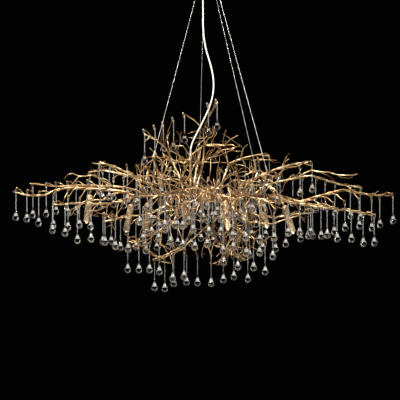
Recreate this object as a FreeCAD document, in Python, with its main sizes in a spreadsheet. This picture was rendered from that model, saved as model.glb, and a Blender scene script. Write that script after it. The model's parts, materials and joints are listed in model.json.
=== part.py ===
"""Branch chandelier: a long oval tangle of bronze boughs and twigs, hung with glass drops.

Sizes are in millimetres. The origin is the middle of the canopy's ceiling face, +Z is up and +X runs along
the length. The lamp hangs from four steel cables, and a cord brings the current down to a riser.

The boughs follow hand-chosen routes. The twigs are grown: each glass drop gets a place on a straight hinge
line, and a twig is led to it from the nearest bough, clear of every other piece and of every drop's swing.
"""
import FreeCAD, Part
import math
import os
import random
import Sketcher

V = FreeCAD.Vector
UP = V(0, 0, 1)
ALONG = V(1, 0, 0)

# ---------------------------------------------------------------- driving sizes
SIZES = {
    # the whole
    "overall_length": 1600,
    "overall_depth": 760,
    "crown_height": 400,  # from the spine to the tip of the top bough
    "drop_to_spine": 907,  # from the ceiling down to the middle of the spine
    # canopy
    "canopy_radius": 65,
    "canopy_depth": 40,
    "canopy_wall": 1.5,
    "plate_radius": 62,
    "plate_thickness": 7,
    "plate_hole_pitch": 84,
    "plate_hole_radius": 2.6,
    "wire_hole_radius": 11,
    "canopy_screw_radius": 1.5,
    "canopy_screw_length": 10,
    "screw_head_radius": 3.2,
    "screw_head_height": 2,
    "mains_block_length": 34,
    "mains_block_width": 18,
    "mains_block_height": 14,
    "grip_radius": 4.5,
    "grip_length": 20,
    "grip_collar_radius": 7,
    "grip_collar_height": 3,
    "cord_grip_radius": 6,
    # hanging
    "cable_radius": 1.25,
    "cord_radius": 3,
    "ferrule_radius": 3.5,
    "ferrule_length": 22,
    "gland_radius": 6.5,
    "gland_length": 20,
    # frame
    "spine_length": 600,
    "spine_radius": 9,
    "spine_wall": 1.5,
    "riser_radius": 5,
    "riser_wall": 1,
    "riser_height": 152,  # from the middle of the spine to the foot of the gland
    "box_radius": 35,
    "box_height": 46,
    "box_wall": 3,
    "lid_thickness": 3,
    "rod_thread_radius": 3,
    "finial_radius": 8,
    "finial_height": 12,
    # branchwork
    "bough_root_radius": 5,
    "bough_tip_radius": 2.7,
    "long_bough_root_radius": 8,
    "arm_radius": 5,
    "twig_root_radius": 2.4,
    "twig_tip_radius": 1.8,
    "twig_overhang": 10,
    # drops
    "hook_wire": 1.6,
    "hook_width": 7.2,  # between the legs
    "hook_height": 20,  # between the pin and the top bar
    "eye_inner_radius": 3.1,
    "eye_outer_radius": 6.6,
    "eye_thickness": 2.8,
    "glass_rod_radius": 1.7,
    "short_rod_length": 74,  # from the hinge line to the shoulder
    "middle_rod_length": 82,
    "tall_rod_length": 91,
    "bulb_radius": 14,
    "bulb_height": 36,  # from the shoulder to the foot
    "drop_pitch": 49,
    "swing": 15,  # degrees each way
    # lamps
    "sleeve_radius": 13.5,
    "sleeve_wall": 1,
    "sleeve_length": 112,
    "sleeve_cap": 2,
    "socket_stem_radius": 4,
    "socket_stem_length": 38,
    "socket_radius": 9,
    "socket_length": 26,
    "capsule_radius": 6,
    "capsule_length": 54,
    # fits
    "seat_gap": 0.3,
    "hole_clearance": 0.3,
}

# The routes below were drawn for a lamp of this size. They stretch with the driving sizes.
DRAWN_LENGTH = 1600
DRAWN_DEPTH = 760
DRAWN_CROWN = 400

SEED = 11  # of the small irregularities
BOUGH_SIDES = 6
TWIG_SIDES = 4
DROP_SIDES = 5

doc = FreeCAD.newDocument("BranchChandelier")
sheet = doc.addObject("Spreadsheet::Sheet", "Sizes")
for line, (alias, value) in enumerate(SIZES.items(), start=1):
    sheet.set(f"A{line}", alias.replace("_", " "))
    sheet.set(f"B{line}", str(value))
    sheet.setAlias(f"B{line}", alias)
doc.recompute()


class Measure:
    """A length with its value and the expression that gives it from the sheet."""

    def __init__(self, value, text):
        self.value = float(value)
        self.text = text

    @staticmethod
    def of(thing):
        return thing if isinstance(thing, Measure) else Measure(thing, f"{thing:g}")

    def joined(self, sign, other, value):
        return Measure(value, f"({self.text} {sign} {Measure.of(other).text})")

    def __add__(self, other):
        return self.joined("+", other, self.value + Measure.of(other).value)

    def __sub__(self, other):
        return self.joined("-", other, self.value - Measure.of(other).value)

    def __mul__(self, factor):
        return self.joined("*", factor, self.value * Measure.of(factor).value)

    def __truediv__(self, divisor):
        return self.joined("/", divisor, self.value / Measure.of(divisor).value)

    def __neg__(self):
        return Measure(-self.value, f"(0 - {self.text})")


def size(alias):
    """A driving size from the sheet, ready to bind."""
    return Measure(sheet.get(alias), f"Sizes.{alias}")


def amount(alias):
    """A driving size as a plain number."""
    return float(sheet.get(alias))


nodes = []
SPINE_Z = -amount("drop_to_spine")
STRETCH = V(
    amount("overall_length") / DRAWN_LENGTH,
    amount("overall_depth") / DRAWN_DEPTH,
    amount("crown_height") / DRAWN_CROWN,
)


SPINE_LENGTH = size("spine_length") * (size("overall_length") / DRAWN_LENGTH)


def place(x, y, z):
    """A drawn place, measured from the middle of the spine, in the part's frame."""
    return V(x * STRETCH.x, y * STRETCH.y, SPINE_Z + z * STRETCH.z)


# ---------------------------------------------------------------- objects of the document
def put(made, at=(0, 0, 0), turn=FreeCAD.Rotation()):
    """Puts an object in its place. A coordinate that is a Measure stays bound to the sheet."""
    made.Placement = FreeCAD.Placement(V(*[Measure.of(one).value for one in at]), turn)
    for axis, one in zip("xyz", at):
        if isinstance(one, Measure):
            made.setExpression(f"Placement.Base.{axis}", one.text)
    return made


def primitive(kind, name, at=(0, 0, 0), turn=FreeCAD.Rotation(), **lengths):
    """A Part primitive whose sizes are bound to the sheet."""
    made = doc.addObject(f"Part::{kind}", name)
    for key, one in lengths.items():
        if isinstance(one, Measure):
            made.setExpression(key, one.text)
        else:
            setattr(made, key, one)
    return put(made, at, turn)


def turned(name, corners, at=(0, 0, 0), turn=FreeCAD.Rotation()):
    """A PartDesign body turned on a lathe: its half outline is given as (radius, height) corners."""
    body = doc.addObject("PartDesign::Body", f"{name}_body")
    sketch = body.newObject("Sketcher::SketchObject", f"{name}_outline")
    plane = next(one for one in body.Origin.OriginFeatures if one.Role == "XZ_Plane")
    sketch.AttachmentSupport = [(plane, "")]
    sketch.MapMode = "FlatFace"
    pairs = [(Measure.of(radius), Measure.of(height)) for radius, height in corners]
    for i, (radius, height) in enumerate(pairs):
        after = pairs[(i + 1) % len(pairs)]
        start = V(radius.value, height.value, 0)
        sketch.addGeometry(Part.LineSegment(start, V(after[0].value, after[1].value, 0)), False)
    for i in range(len(pairs)):
        sketch.addConstraint(Sketcher.Constraint("Coincident", i, 2, (i + 1) % len(pairs), 1))
    for i, (radius, height) in enumerate(pairs):
        hold(sketch, i, "DistanceX", -2, radius)
        hold(sketch, i, "DistanceY", -1, height)
    lathe = body.newObject("PartDesign::Revolution", f"{name}_turned")
    lathe.Profile = sketch
    lathe.ReferenceAxis = (sketch, ["V_Axis"])
    lathe.Angle = 360
    return put(body, at, turn)


def hold(sketch, edge, kind, axis, one):
    """Holds an edge's first point at a distance from the origin, or on the axis where that is zero."""
    if one.value == 0:
        sketch.addConstraint(Sketcher.Constraint("PointOnObject", edge, 1, axis))
        return
    number = sketch.addConstraint(Sketcher.Constraint(kind, -1, 1, edge, 1, one.value))
    sketch.setExpression(f"Constraints[{number}]", one.text)


def cut(name, base, *tools):
    for number, tool in enumerate(tools):
        made = doc.addObject("Part::Cut", f"{name}_cut_{number}")
        made.Base = base
        made.Tool = tool
        base = made
    return base


def fuse(name, *shapes):
    made = doc.addObject("Part::MultiFuse", f"{name}_fused")
    made.Shapes = list(shapes)
    return made


def copies(name, placed):
    """A group of separate solids: a linked copy of each form at its placement."""
    links = []
    for number, (form, placement) in enumerate(placed):
        link = doc.addObject("App::Link", f"{name}_{number}")
        link.LinkedObject = form
        link.Placement = placement
        links.append(link)
    group = doc.addObject("Part::Compound", f"{name}_group")
    group.Links = links
    return group


def shaped(name, solids):
    """A piece, or a group of separate ones, whose form is worked out in this file."""
    made = doc.addObject("Part::Feature", f"{name}_shape")
    made.Shape = solids[0] if len(solids) == 1 else Part.makeCompound(solids)
    return made


def node(name, made):
    """Gives the object the name that its file gets."""
    made.Label = name
    nodes.append(made)
    return made


def pointing(direction):
    """The turn that takes +Z to a direction."""
    return FreeCAD.Rotation(UP, direction)


# ---------------------------------------------------------------- faceted limbs
def ring(middle, normal, towards, radius, sides):
    """The corners of a regular polygon across a limb, with the first one turned towards a direction."""
    first = (towards - normal * normal.dot(towards)).normalize()
    second = normal.cross(first)
    corners = []
    for i in range(sides):
        angle = 2 * math.pi * i / sides
        corners.append(middle + first * (radius * math.cos(angle)) + second * (radius * math.sin(angle)))
    return corners, first


def skin(rings):
    """The solid between rings of corners, each joined to the next by flat facets."""
    sides = len(rings[0])
    corners = [corner for one in rings for corner in one]
    facets = []
    for low in range(0, len(corners) - sides, sides):
        high = low + sides
        for i in range(sides):
            j = (i + 1) % sides
            facets.append((low + i, low + j, high + j))
            facets.append((low + i, high + j, high + i))
    last = len(corners) - sides
    for i in range(1, sides - 1):
        facets.append((0, i + 1, i))
        facets.append((last, last + i, last + i + 1))
    shell = Part.Shape()
    shell.makeShapeFromMesh((corners, facets), 0.001)
    return Part.Solid(Part.Shell(shell.Faces)).removeSplitter()


def limb(points, radii, sides, towards=V(0, 1, 0)):
    """A tapering limb along a bent line. Its first ring has a corner turned towards the given direction."""
    rings = []
    for i, point in enumerate(points):
        before = points[max(i - 1, 0)]
        after = points[min(i + 1, len(points) - 1)]
        corners, towards = ring(point, (after - before).normalize(), towards, radii[i], sides)
        rings.append(corners)
    return skin(rings)


def seated(piece, tip, host):
    """The stretch of a piece that reaches its tip, cut to sit on its host."""
    end = Part.Vertex(tip)
    return min(piece.cut(host).Solids, key=lambda solid: solid.distToShape(end)[0])


def ways_along(points):
    """How far along the line each point lies."""
    ways = [0.0]
    for a, b in zip(points, points[1:]):
        ways.append(ways[-1] + a.distanceToPoint(b))
    return ways


def taper(points, root, tip):
    """The radius at each point, falling evenly along the line."""
    ways = ways_along(points)
    return [root + (tip - root) * way / ways[-1] for way in ways]


def point_at(points, way):
    """The point that lies this far along the line."""
    ways = ways_along(points)
    way = min(max(way, 0.0), ways[-1])
    for i in range(1, len(points)):
        if way <= ways[i]:
            share = (way - ways[i - 1]) / (ways[i] - ways[i - 1])
            return points[i - 1] + (points[i] - points[i - 1]) * share
    return points[-1]


# ---------------------------------------------------------------- free space
def apart(a, b, c, d):
    """The distance between two straight stretches, a to b and c to d."""
    u = b - a
    v = d - c
    w = a - c
    uu = u.dot(u)
    vv = v.dot(v)
    uv = u.dot(v)
    uw = u.dot(w)
    vw = v.dot(w)
    level = uu * vv - uv * uv
    s = min(max((uv * vw - vv * uw) / level, 0.0), 1.0) if level > 1e-9 else 0.0
    t = (uv * s + vw) / vv if vv > 0 else 0.0
    if t < 0.0 or t > 1.0:
        t = min(max(t, 0.0), 1.0)
        s = min(max((uv * t - uw) / uu, 0.0), 1.0) if uu > 0 else 0.0
    return (w + u * s - v * t).Length


class Space:
    """Round-ended rods that stand for the pieces, so that a new piece can be kept clear of them."""

    def __init__(self):
        self.rods = []

    def add(self, a, b, radius, owner):
        self.rods.append((a, b, radius, owner, (a + b) * 0.5, a.distanceToPoint(b) / 2 + radius))

    def add_line(self, points, radii, owner):
        for i in range(len(points) - 1):
            self.add(points[i], points[i + 1], max(radii[i], radii[i + 1]), owner)

    def clear(self, a, b, radius, gap, left_out=()):
        """Is a rod from a to b at least gap away from every rod but those of the owners left out?"""
        middle = (a + b) * 0.5
        reach = a.distanceToPoint(b) / 2 + radius + gap
        for c, d, other, owner, centre, extent in self.rods:
            if owner in left_out or middle.distanceToPoint(centre) > reach + extent:
                continue
            if apart(a, b, c, d) < radius + other + gap:
                return False
        return True


space = Space()

# ---------------------------------------------------------------- canopy and cables
CABLES = {
    # name: place in the canopy's floor, foot on the frame, where its arm leaves the spine, the arm's elbow
    "left": ((-33, -12), (-216, -60, 168), -185, (-200, -36, 90)),
    "centre": ((-9, 38), (-27, 170, 186), -55, (-45, 105, 95)),
    "right_rear": ((35, 14), (213, 24, 101), 178, (196, 10, 50)),
    "right_front": ((46, -20), (249, -112, 103), 225, (240, -66, 52)),
}
CORD_TOP = (-12, -22)
SCREW_TURNS = (90, 210, 330)


class Cable:
    """One suspension cable: its line, its grip in the canopy and its arm on the frame."""

    def __init__(self, name):
        (x, y), foot, self.arm_start, elbow = CABLES[name]
        self.name = name
        self.through = V(x, y, -amount("canopy_depth"))
        self.foot = place(*foot)
        self.down = (self.foot - self.through).normalize()
        lean = math.sqrt(1 - self.down.z**2)
        collar_rise = amount("canopy_wall") + amount("seat_gap") + amount("grip_collar_radius") * lean
        under_collar = collar_rise / -self.down.z
        shank = amount("grip_length") - amount("grip_collar_height")
        self.grip_end = self.through + self.down * (shank - under_collar)
        self.ferrule_top = self.foot - self.down * amount("ferrule_length")
        before_foot = self.foot + self.down * (2 * amount("arm_radius"))
        self.arm = [place(self.arm_start, 0, 0), place(*elbow), before_foot, self.foot]

    def upright(self, at):
        return FreeCAD.Placement(at, pointing(-self.down))


def ceiling_plate():
    disc = primitive(
        "Cylinder", "plate_disc", (0, 0, -size("plate_thickness")),
        Radius=size("plate_radius"), Height=size("plate_thickness"),
    )
    below = -size("plate_thickness") * 2
    through = size("plate_thickness") * 3
    holes = [primitive("Cylinder", "wire_hole", (0, 0, below), Radius=size("wire_hole_radius"), Height=through)]
    for side in (-1, 1):
        holes.append(primitive(
            "Cylinder", "ceiling_hole", (size("plate_hole_pitch") / 2 * side, 0, below),
            Radius=size("plate_hole_radius"), Height=through,
        ))
    for angle in SCREW_TURNS:
        outward = FreeCAD.Rotation(UP, angle).multVec(ALONG)
        depth = amount("plate_radius") - amount("canopy_screw_length")
        start = outward * depth - UP * (amount("plate_thickness") / 2)
        holes.append(primitive(
            "Cylinder", "side_hole", tuple(start), pointing(outward),
            Radius=size("canopy_screw_radius") + size("hole_clearance") / 3,
            Height=size("canopy_screw_length") * 2,
        ))
    node("ceiling_plate", cut("plate", disc, fuse("plate_holes", *holes)))


def canopy_cup(cables):
    """The cup that hides the plate, with a slanted hole for each cable grip and a straight one for the cord."""
    cup = turned("cup", [
        (0, 0),
        (size("canopy_radius"), 0),
        (size("canopy_radius"), size("canopy_depth") - size("seat_gap")),
        (size("canopy_radius") - size("canopy_wall"), size("canopy_depth") - size("seat_gap")),
        (size("canopy_radius") - size("canopy_wall"), size("canopy_wall")),
        (0, size("canopy_wall")),
    ], (0, 0, -size("canopy_depth")))
    holes = []
    for cable in cables:
        start = cable.through + cable.down * amount("grip_length")
        holes.append(primitive(
            "Cylinder", f"{cable.name}_grip_hole", tuple(start), pointing(-cable.down),
            Radius=size("grip_radius") + size("hole_clearance") / 2, Height=size("grip_length") * 2,
        ))
    holes.append(primitive(
        "Cylinder", "cord_grip_hole", (*CORD_TOP, -size("canopy_depth") - 5),
        Radius=size("cord_grip_radius") + size("hole_clearance") / 2, Height=10,
    ))
    for angle in SCREW_TURNS:
        outward = FreeCAD.Rotation(UP, angle).multVec(ALONG)
        start = outward * (amount("canopy_radius") - 5) - UP * (amount("plate_thickness") / 2)
        holes.append(primitive(
            "Cylinder", "cup_screw_hole", tuple(start), pointing(outward),
            Radius=size("canopy_screw_radius") + size("hole_clearance"), Height=10,
        ))
    node("canopy_cup", cut("cup", cup, fuse("cup_holes", *holes)))


def canopy_screws():
    shank = primitive("Cylinder", "screw_shank", Radius=size("canopy_screw_radius"),
                      Height=size("canopy_screw_length"))
    head = primitive("Prism", "screw_head", (0, 0, size("canopy_screw_length")), Polygon=6,
                     Circumradius=size("screw_head_radius"), Height=size("screw_head_height"))
    screw = fuse("canopy_screw", shank, head)
    placed = []
    for angle in SCREW_TURNS:
        outward = FreeCAD.Rotation(UP, angle).multVec(ALONG)
        depth = amount("canopy_radius") + amount("seat_gap") / 3 - amount("canopy_screw_length")
        at = outward * depth - UP * (amount("plate_thickness") / 2)
        placed.append((screw, FreeCAD.Placement(at, pointing(outward))))
    node("canopy_screws", copies("canopy_screw", placed))


def mains_block():
    """The terminal block under the plate, with three wire entries."""
    block = primitive(
        "Box", "mains_block_body",
        (-size("mains_block_length") / 2, size("wire_hole_radius") + 6,
         -size("plate_thickness") - size("mains_block_height")),
        Length=size("mains_block_length"), Width=size("mains_block_width"), Height=size("mains_block_height"),
    )
    entries = []
    for number in (-1, 0, 1):
        entries.append(primitive(
            "Box", "wire_entry",
            (size("mains_block_length") / 3.5 * number - 3, size("wire_hole_radius"),
             -size("plate_thickness") - size("mains_block_height") * 0.75),
            Length=6, Width=14, Height=size("mains_block_height") / 2,
        ))
    node("mains_block", cut("mains_block", block, *entries))


def grips_and_ferrules(cables):
    shank = primitive("Cylinder", "grip_shank", Radius=size("grip_radius"), Height=size("grip_length"))
    collar = primitive("Prism", "grip_collar", (0, 0, size("grip_length") - size("grip_collar_height")),
                       Polygon=6, Circumradius=size("grip_collar_radius"), Height=size("grip_collar_height"))
    grip = fuse("grip", shank, collar)
    node("cable_grips", copies("grip", [(grip, cable.upright(cable.grip_end)) for cable in cables]))
    ferrule = primitive("Cylinder", "ferrule", Radius=size("ferrule_radius"), Height=size("ferrule_length"))
    node("cable_ferrules", copies("ferrule", [(ferrule, cable.upright(cable.foot)) for cable in cables]))
    for cable in cables:
        straight = primitive(
            "Cylinder", f"{cable.name}_cable", tuple(cable.ferrule_top), pointing(-cable.down),
            Radius=size("cable_radius"), Height=cable.ferrule_top.distanceToPoint(cable.grip_end),
        )
        node(f"{cable.name}_cable", straight)
        space.add(cable.foot, cable.grip_end, amount("ferrule_radius"), "cables")


def cord_grip():
    length = size("grip_length")
    collar = size("grip_collar_height")
    floor = -size("canopy_depth") + size("canopy_wall")
    shank = primitive("Cylinder", "cord_grip_shank", (*CORD_TOP, floor - length + collar),
                      Radius=size("cord_grip_radius"), Height=length)
    nut = primitive("Prism", "cord_grip_nut", (*CORD_TOP, floor), Polygon=6,
                    Circumradius=size("cord_grip_radius") + size("grip_collar_height"), Height=collar)
    node("cord_grip", fuse("cord_grip", shank, nut))


# The cord hangs in one lazy bend. Its points are offsets from the ceiling and from the middle of the canopy.
RISER_X = -65 * STRETCH.x
CORD_ROUTE = [
    (*CORD_TOP, -126),
    (-13, -20, -205),
    (-4, -15, -285),
    (21, -12, -360),
    (35, -13, -436),
    (25, -16, -512),
    (-8, -13, -587),
    (-44, -5, -655),
    (RISER_X, 0, -700),
]


def power_cord():
    """The supply cord: straight runs joined by tangent arcs, from the canopy's grip to the riser's gland."""
    top = V(*CORD_TOP, -amount("canopy_depth") + amount("canopy_wall"))
    top.z -= amount("grip_length") - amount("grip_collar_height")
    points = [top]
    points += [V(x, y, z) for x, y, z in CORD_ROUTE]
    points.append(V(RISER_X, 0, SPINE_Z + amount("riser_height") + amount("gland_length")))
    points[-2].x = points[-1].x
    edges = []
    start = points[0]
    radii = []
    for before, corner, after in zip(points, points[1:], points[2:]):
        back = before - corner
        ahead = after - corner
        half_turn = (math.pi - back.getAngle(ahead)) / 2
        setback = 0.45 * min(back.Length, ahead.Length)
        radii.append(setback / math.tan(half_turn))
        back.normalize()
        ahead.normalize()
        first = corner + back * setback
        last = corner + ahead * setback
        inward = (back + ahead).normalize()
        bulge = radii[-1] / math.cos(half_turn) - radii[-1]
        edges.append(Part.LineSegment(start, first).toShape())
        edges.append(Part.Arc(first, corner + inward * bulge, last).toShape())
        start = last
    edges.append(Part.LineSegment(start, points[-1]).toShape())
    line = Part.Wire(edges)
    section = Part.Wire([Part.Circle(points[0], points[0] - points[1], amount("cord_radius")).toShape()])
    tube = line.makePipeShell([section], True, False)
    print("cord bends, radius in mm:", [round(one) for one in radii])
    print("cord length, mm:", round(line.Length))
    share = tube.Volume / (math.pi * amount("cord_radius") ** 2 * line.Length)
    print("cord volume over section times length:", round(share, 4))
    node("power_cord", shaped("power_cord", [tube]))
    space.add_line(points, [amount("cord_radius")] * len(points), "cord")


# ---------------------------------------------------------------- frame
def spine():
    """Two tubes that carry every bough, screwed into the junction box, and the riser that the cord enters."""
    length = SPINE_LENGTH / 2 - size("box_radius") + size("box_wall")
    tubes = []
    for side in (-1, 1):
        start = size("box_radius") - size("box_wall")
        x = start if side > 0 else -start
        turn = pointing(ALONG * side)
        outer = primitive("Cylinder", "spine_outside", (x, 0, -size("drop_to_spine")), turn,
                          Radius=size("spine_radius"), Height=length)
        inner = primitive("Cylinder", "spine_bore", (x, 0, -size("drop_to_spine")), turn,
                          Radius=size("spine_radius") - size("spine_wall"), Height=length)
        tubes.append(cut("spine", outer, inner))
    group = doc.addObject("Part::Compound", "spine_tubes_group")
    group.Links = tubes
    node("spine_tubes", group)
    half = ALONG * (SPINE_LENGTH.value / 2)
    middle = place(0, 0, 0)
    space.add(middle - half, middle + half, amount("spine_radius"), "spine")


def riser():
    outer = primitive("Cylinder", "riser_outside", (RISER_X, 0, -size("drop_to_spine")),
                      Radius=size("riser_radius"), Height=size("riser_height"))
    inner = primitive("Cylinder", "riser_bore", (RISER_X, 0, -size("drop_to_spine")),
                      Radius=size("riser_radius") - size("riser_wall"), Height=size("riser_height"))
    saddle = primitive("Cylinder", "riser_saddle", (RISER_X - 20, 0, -size("drop_to_spine")), pointing(ALONG),
                       Radius=size("spine_radius"), Height=40)
    node("riser", cut("riser", outer, inner, saddle))
    foot_height = size("riser_height") - size("drop_to_spine")
    nut = primitive("Prism", "gland_nut", (RISER_X, 0, foot_height), Polygon=6,
                    Circumradius=size("gland_radius"), Height=size("gland_length") / 2)
    neck = primitive("Cylinder", "gland_neck", (RISER_X, 0, foot_height),
                     Radius=size("cord_radius") + size("riser_wall"), Height=size("gland_length"))
    node("riser_gland", fuse("gland", nut, neck))
    foot = V(RISER_X, 0, SPINE_Z)
    space.add(foot, foot + UP * (amount("riser_height") + amount("gland_length")), amount("gland_radius"), "riser")


def junction_box():
    """The round box in the middle of the spine where the lamps' wires meet, with its lid and centre rod."""
    half = size("box_height") / 2
    bottom = -size("drop_to_spine") - half
    cup = turned("box", [
        (0, size("box_height")),
        (0, size("box_height") - size("box_wall")),
        (size("box_radius") - size("box_wall"), size("box_height") - size("box_wall")),
        (size("box_radius") - size("box_wall"), 0),
        (size("box_radius"), 0),
        (size("box_radius"), size("box_height")),
    ], (0, 0, bottom))
    bore = primitive("Cylinder", "box_spine_bore", (-size("box_radius") * 2, 0, -size("drop_to_spine")),
                     pointing(ALONG), Radius=size("spine_radius") + size("hole_clearance") / 3,
                     Height=size("box_radius") * 4)
    node("junction_box", cut("box", cup, bore))
    disc = primitive("Cylinder", "lid_disc", (0, 0, bottom - size("lid_thickness")),
                     Radius=size("box_radius"), Height=size("lid_thickness"))
    hole = primitive("Cylinder", "lid_hole", (0, 0, bottom - size("lid_thickness") * 2),
                     Radius=size("rod_thread_radius") + size("hole_clearance"), Height=size("lid_thickness") * 3)
    node("junction_lid", cut("lid", disc, hole))
    reach = size("box_height") - size("box_wall") + size("lid_thickness")
    rod = primitive("Cylinder", "centre_rod_form", (0, 0, bottom - size("lid_thickness")),
                    Radius=size("rod_thread_radius"), Height=reach)
    node("centre_rod", rod)
    finial = turned("finial", [
        (0, 0),
        (size("finial_radius") / 2, 0),
        (size("finial_radius") / 2, size("finial_height") / 2),
        (size("finial_radius"), size("finial_height") / 2),
        (size("finial_radius"), size("finial_height")),
        (0, size("finial_height")),
    ], (0, 0, bottom - size("lid_thickness") - size("finial_height")))
    node("finial", finial)
    block = primitive(
        "Box", "lamp_block_body",
        (size("rod_thread_radius") + 3, -9, -size("drop_to_spine") + half - size("box_wall") - 12),
        Length=18, Width=18, Height=12,
    )
    node("lamp_wire_block", block)
    middle = place(0, 0, 0)
    space.add(middle - UP * 8, middle + UP * 8, amount("box_radius"), "box")


# ---------------------------------------------------------------- boughs
# Each bough is a list of drawn places from the middle of the spine. The first one lies on the spine's axis,
# but for the two long boughs, which start at the spine's ends.
BOUGHS = {
    "long_boughs": {
        "left_long": [(-300, 0, 0), (-350, -2, 16), (-403, 8, 27), (-496, 14, 34), (-588, 8, 36), (-636, 2, 23),
                      (-672, -4, 4), (-741, 4, 0), (-812, -6, 19)],
        "right_long": [(300, 0, 0), (350, 6, -14), (395, 2, -26), (458, -4, -6), (575, 6, 25), (613, 4, 17),
                       (690, -2, 4), (786, 0, 2)],
    },
    "left_boughs": {
        "left_back": [(-250, 0, 0), (-300, 36, 26), (-370, 62, 40), (-450, 72, 44), (-540, 66, 48), (-640, 60, 40),
                      (-751, 48, 54)],
        "left_front": [(-265, 0, 0), (-300, -60, -6), (-350, -118, -24), (-430, -150, -32), (-520, -158, -30),
                       (-620, -150, -36)],
        "left_high": [(-205, 0, 0), (-236, 62, 44), (-290, 126, 78), (-368, 152, 98), (-442, 160, 112),
                      (-512, 158, 104)],
    },
    "lower_boughs": {
        "lower_left": [(-150, 0, 0), (-172, -24, -44), (-230, -30, -74), (-314, -26, -84), (-383, -30, -98),
                       (-434, -22, -108)],
        "lower_deep": [(-110, 0, 0), (-116, -36, -58), (-136, -62, -112), (-200, -70, -150), (-262, -74, -176),
                       (-324, -72, -192)],
        "lower_centre": [(-50, 0, 0), (-52, 24, -84), (-66, 32, -152), (-98, 34, -212), (-160, 32, -246),
                         (-228, 34, -270)],
        "right_low": [(150, 0, 0), (166, 52, -46), (214, 80, -84), (296, 90, -92), (372, 84, -78), (457, 88, -72)],
        "lower_right": [(85, 0, 0), (94, -38, -58), (112, -72, -112), (152, -84, -152), (196, -84, -174),
                        (240, -90, -186)],
        "lower_middle": [(50, 0, 0), (44, 36, -70), (30, 44, -150), (52, 46, -212), (104, 44, -246),
                         (168, 48, -266)],
    },
    "right_boughs": {
        "right_upper": [(200, 0, 0), (246, 40, 44), (320, 66, 62), (400, 74, 78), (452, 70, 88), (530, 72, 62),
                        (600, 66, 44), (668, 60, 36)],
        "right_front": [(265, 0, 0), (292, -66, -14), (360, -128, -30), (460, -156, -48), (559, -152, -56),
                        (678, -150, -80)],
        "right_high": [(150, 0, 0), (178, -48, 56), (246, -78, 96), (318, -86, 122), (392, -84, 136),
                       (436, -90, 124)],
    },
    "crown_boughs": {
        "top": [(-48, 0, 0), (-30, 14, 70), (-10, 26, 150), (-4, 20, 224), (-10, 12, 262), (-2, 6, 304),
                (24, 0, 352), (50, -4, 396)],
        "top_left": [(-90, 0, 0), (-104, 40, 64), (-132, 70, 118), (-150, 84, 168), (-168, 84, 204),
                     (-204, 84, 234), (-264, 86, 266)],
        "upper_right": [(60, 0, 0), (72, 34, 70), (100, 66, 142), (168, 84, 166), (228, 92, 178), (276, 96, 170)],
        "upper_left": [(-170, 0, 0), (-196, -46, 46), (-262, -84, 58), (-320, -92, 92), (-384, -96, 122),
                       (-442, -98, 138)],
    },
    "cross_boughs": {
        "front_left": [(-85, 0, 0), (-92, -84, 18), (-108, -176, 26), (-136, -256, 14), (-186, -298, 2),
                       (-250, -304, -4)],
        "front_middle": [(48, 0, 0), (22, -92, 30), (-4, -190, 34), (2, -264, 18), (34, -302, 4), (96, -308, -6)],
        "front_right": [(112, 0, 0), (120, -96, 8), (140, -186, 6), (162, -258, -4), (204, -298, -12),
                        (262, -300, -22)],
        "back_left": [(-135, 0, 0), (-142, 88, 6), (-150, 178, 22), (-166, 252, 12), (-206, 300, 2), (-262, 302, 0)],
        "back_middle": [(55, 0, 0), (34, 92, 14), (4, 186, 30), (-4, 262, 18), (-30, 302, 8), (-90, 306, 4)],
        "back_right": [(122, 0, 0), (128, 92, 8), (140, 184, 22), (164, 258, 10), (208, 300, 0), (266, 300, -8)],
    },
}


# A long bough starts this far inside the spine's end, where it is cut off flush, and runs as far out straight.
LONG_BOUGH_LAP = 6


class Limb:
    """A bough or an arm: its line, its radii and its solid, cut to seat on what carries it."""

    def __init__(self, name, points, root, tip, seat):
        self.name = name
        self.points = points
        self.radii = taper(points, root, tip)
        self.solid = seated(limb(points, self.radii, BOUGH_SIDES), points[-1], seat)
        space.add_line(points, self.radii, name)


def spine_seat():
    """What a limb that starts on the spine's axis is cut by, so that it seats on the spine or on the box."""
    half = SPINE_LENGTH.value / 2
    rod = Part.makeCylinder(amount("spine_radius"), 2 * half, V(-half, 0, SPINE_Z), ALONG)
    height = amount("box_height")
    box = Part.makeCylinder(amount("box_radius"), height, V(0, 0, SPINE_Z - height / 2), UP)
    return rod.fuse(box)


def grow_boughs(seat):
    boughs = {}
    for group, members in BOUGHS.items():
        made = []
        for name, drawn in members.items():
            long_one = name.endswith("_long")
            points = [place(*point) for point in drawn]
            root = amount("bough_root_radius")
            if long_one:
                root = amount("long_bough_root_radius")
                half = SPINE_LENGTH.value / 2
                side = math.copysign(1, points[0].x)
                points[0].x = side * (half - LONG_BOUGH_LAP)
                points.insert(1, V(side * (half + LONG_BOUGH_LAP), 0, SPINE_Z))
            boughs[name] = Limb(name, points, root, amount("bough_tip_radius"), seat)
            made.append(boughs[name].solid)
        node(group, shaped(group, made))
    return boughs


def grow_arms(cables, seat):
    """The four stout arms that stand up from the spine to the cables' ferrules."""
    arms = []
    for cable in cables:
        radius = amount("arm_radius")
        arms.append(Limb(f"{cable.name}_arm", cable.arm, radius, radius * 0.8, seat).solid)
    node("hanger_arms", shaped("hanger_arms", arms))


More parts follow.
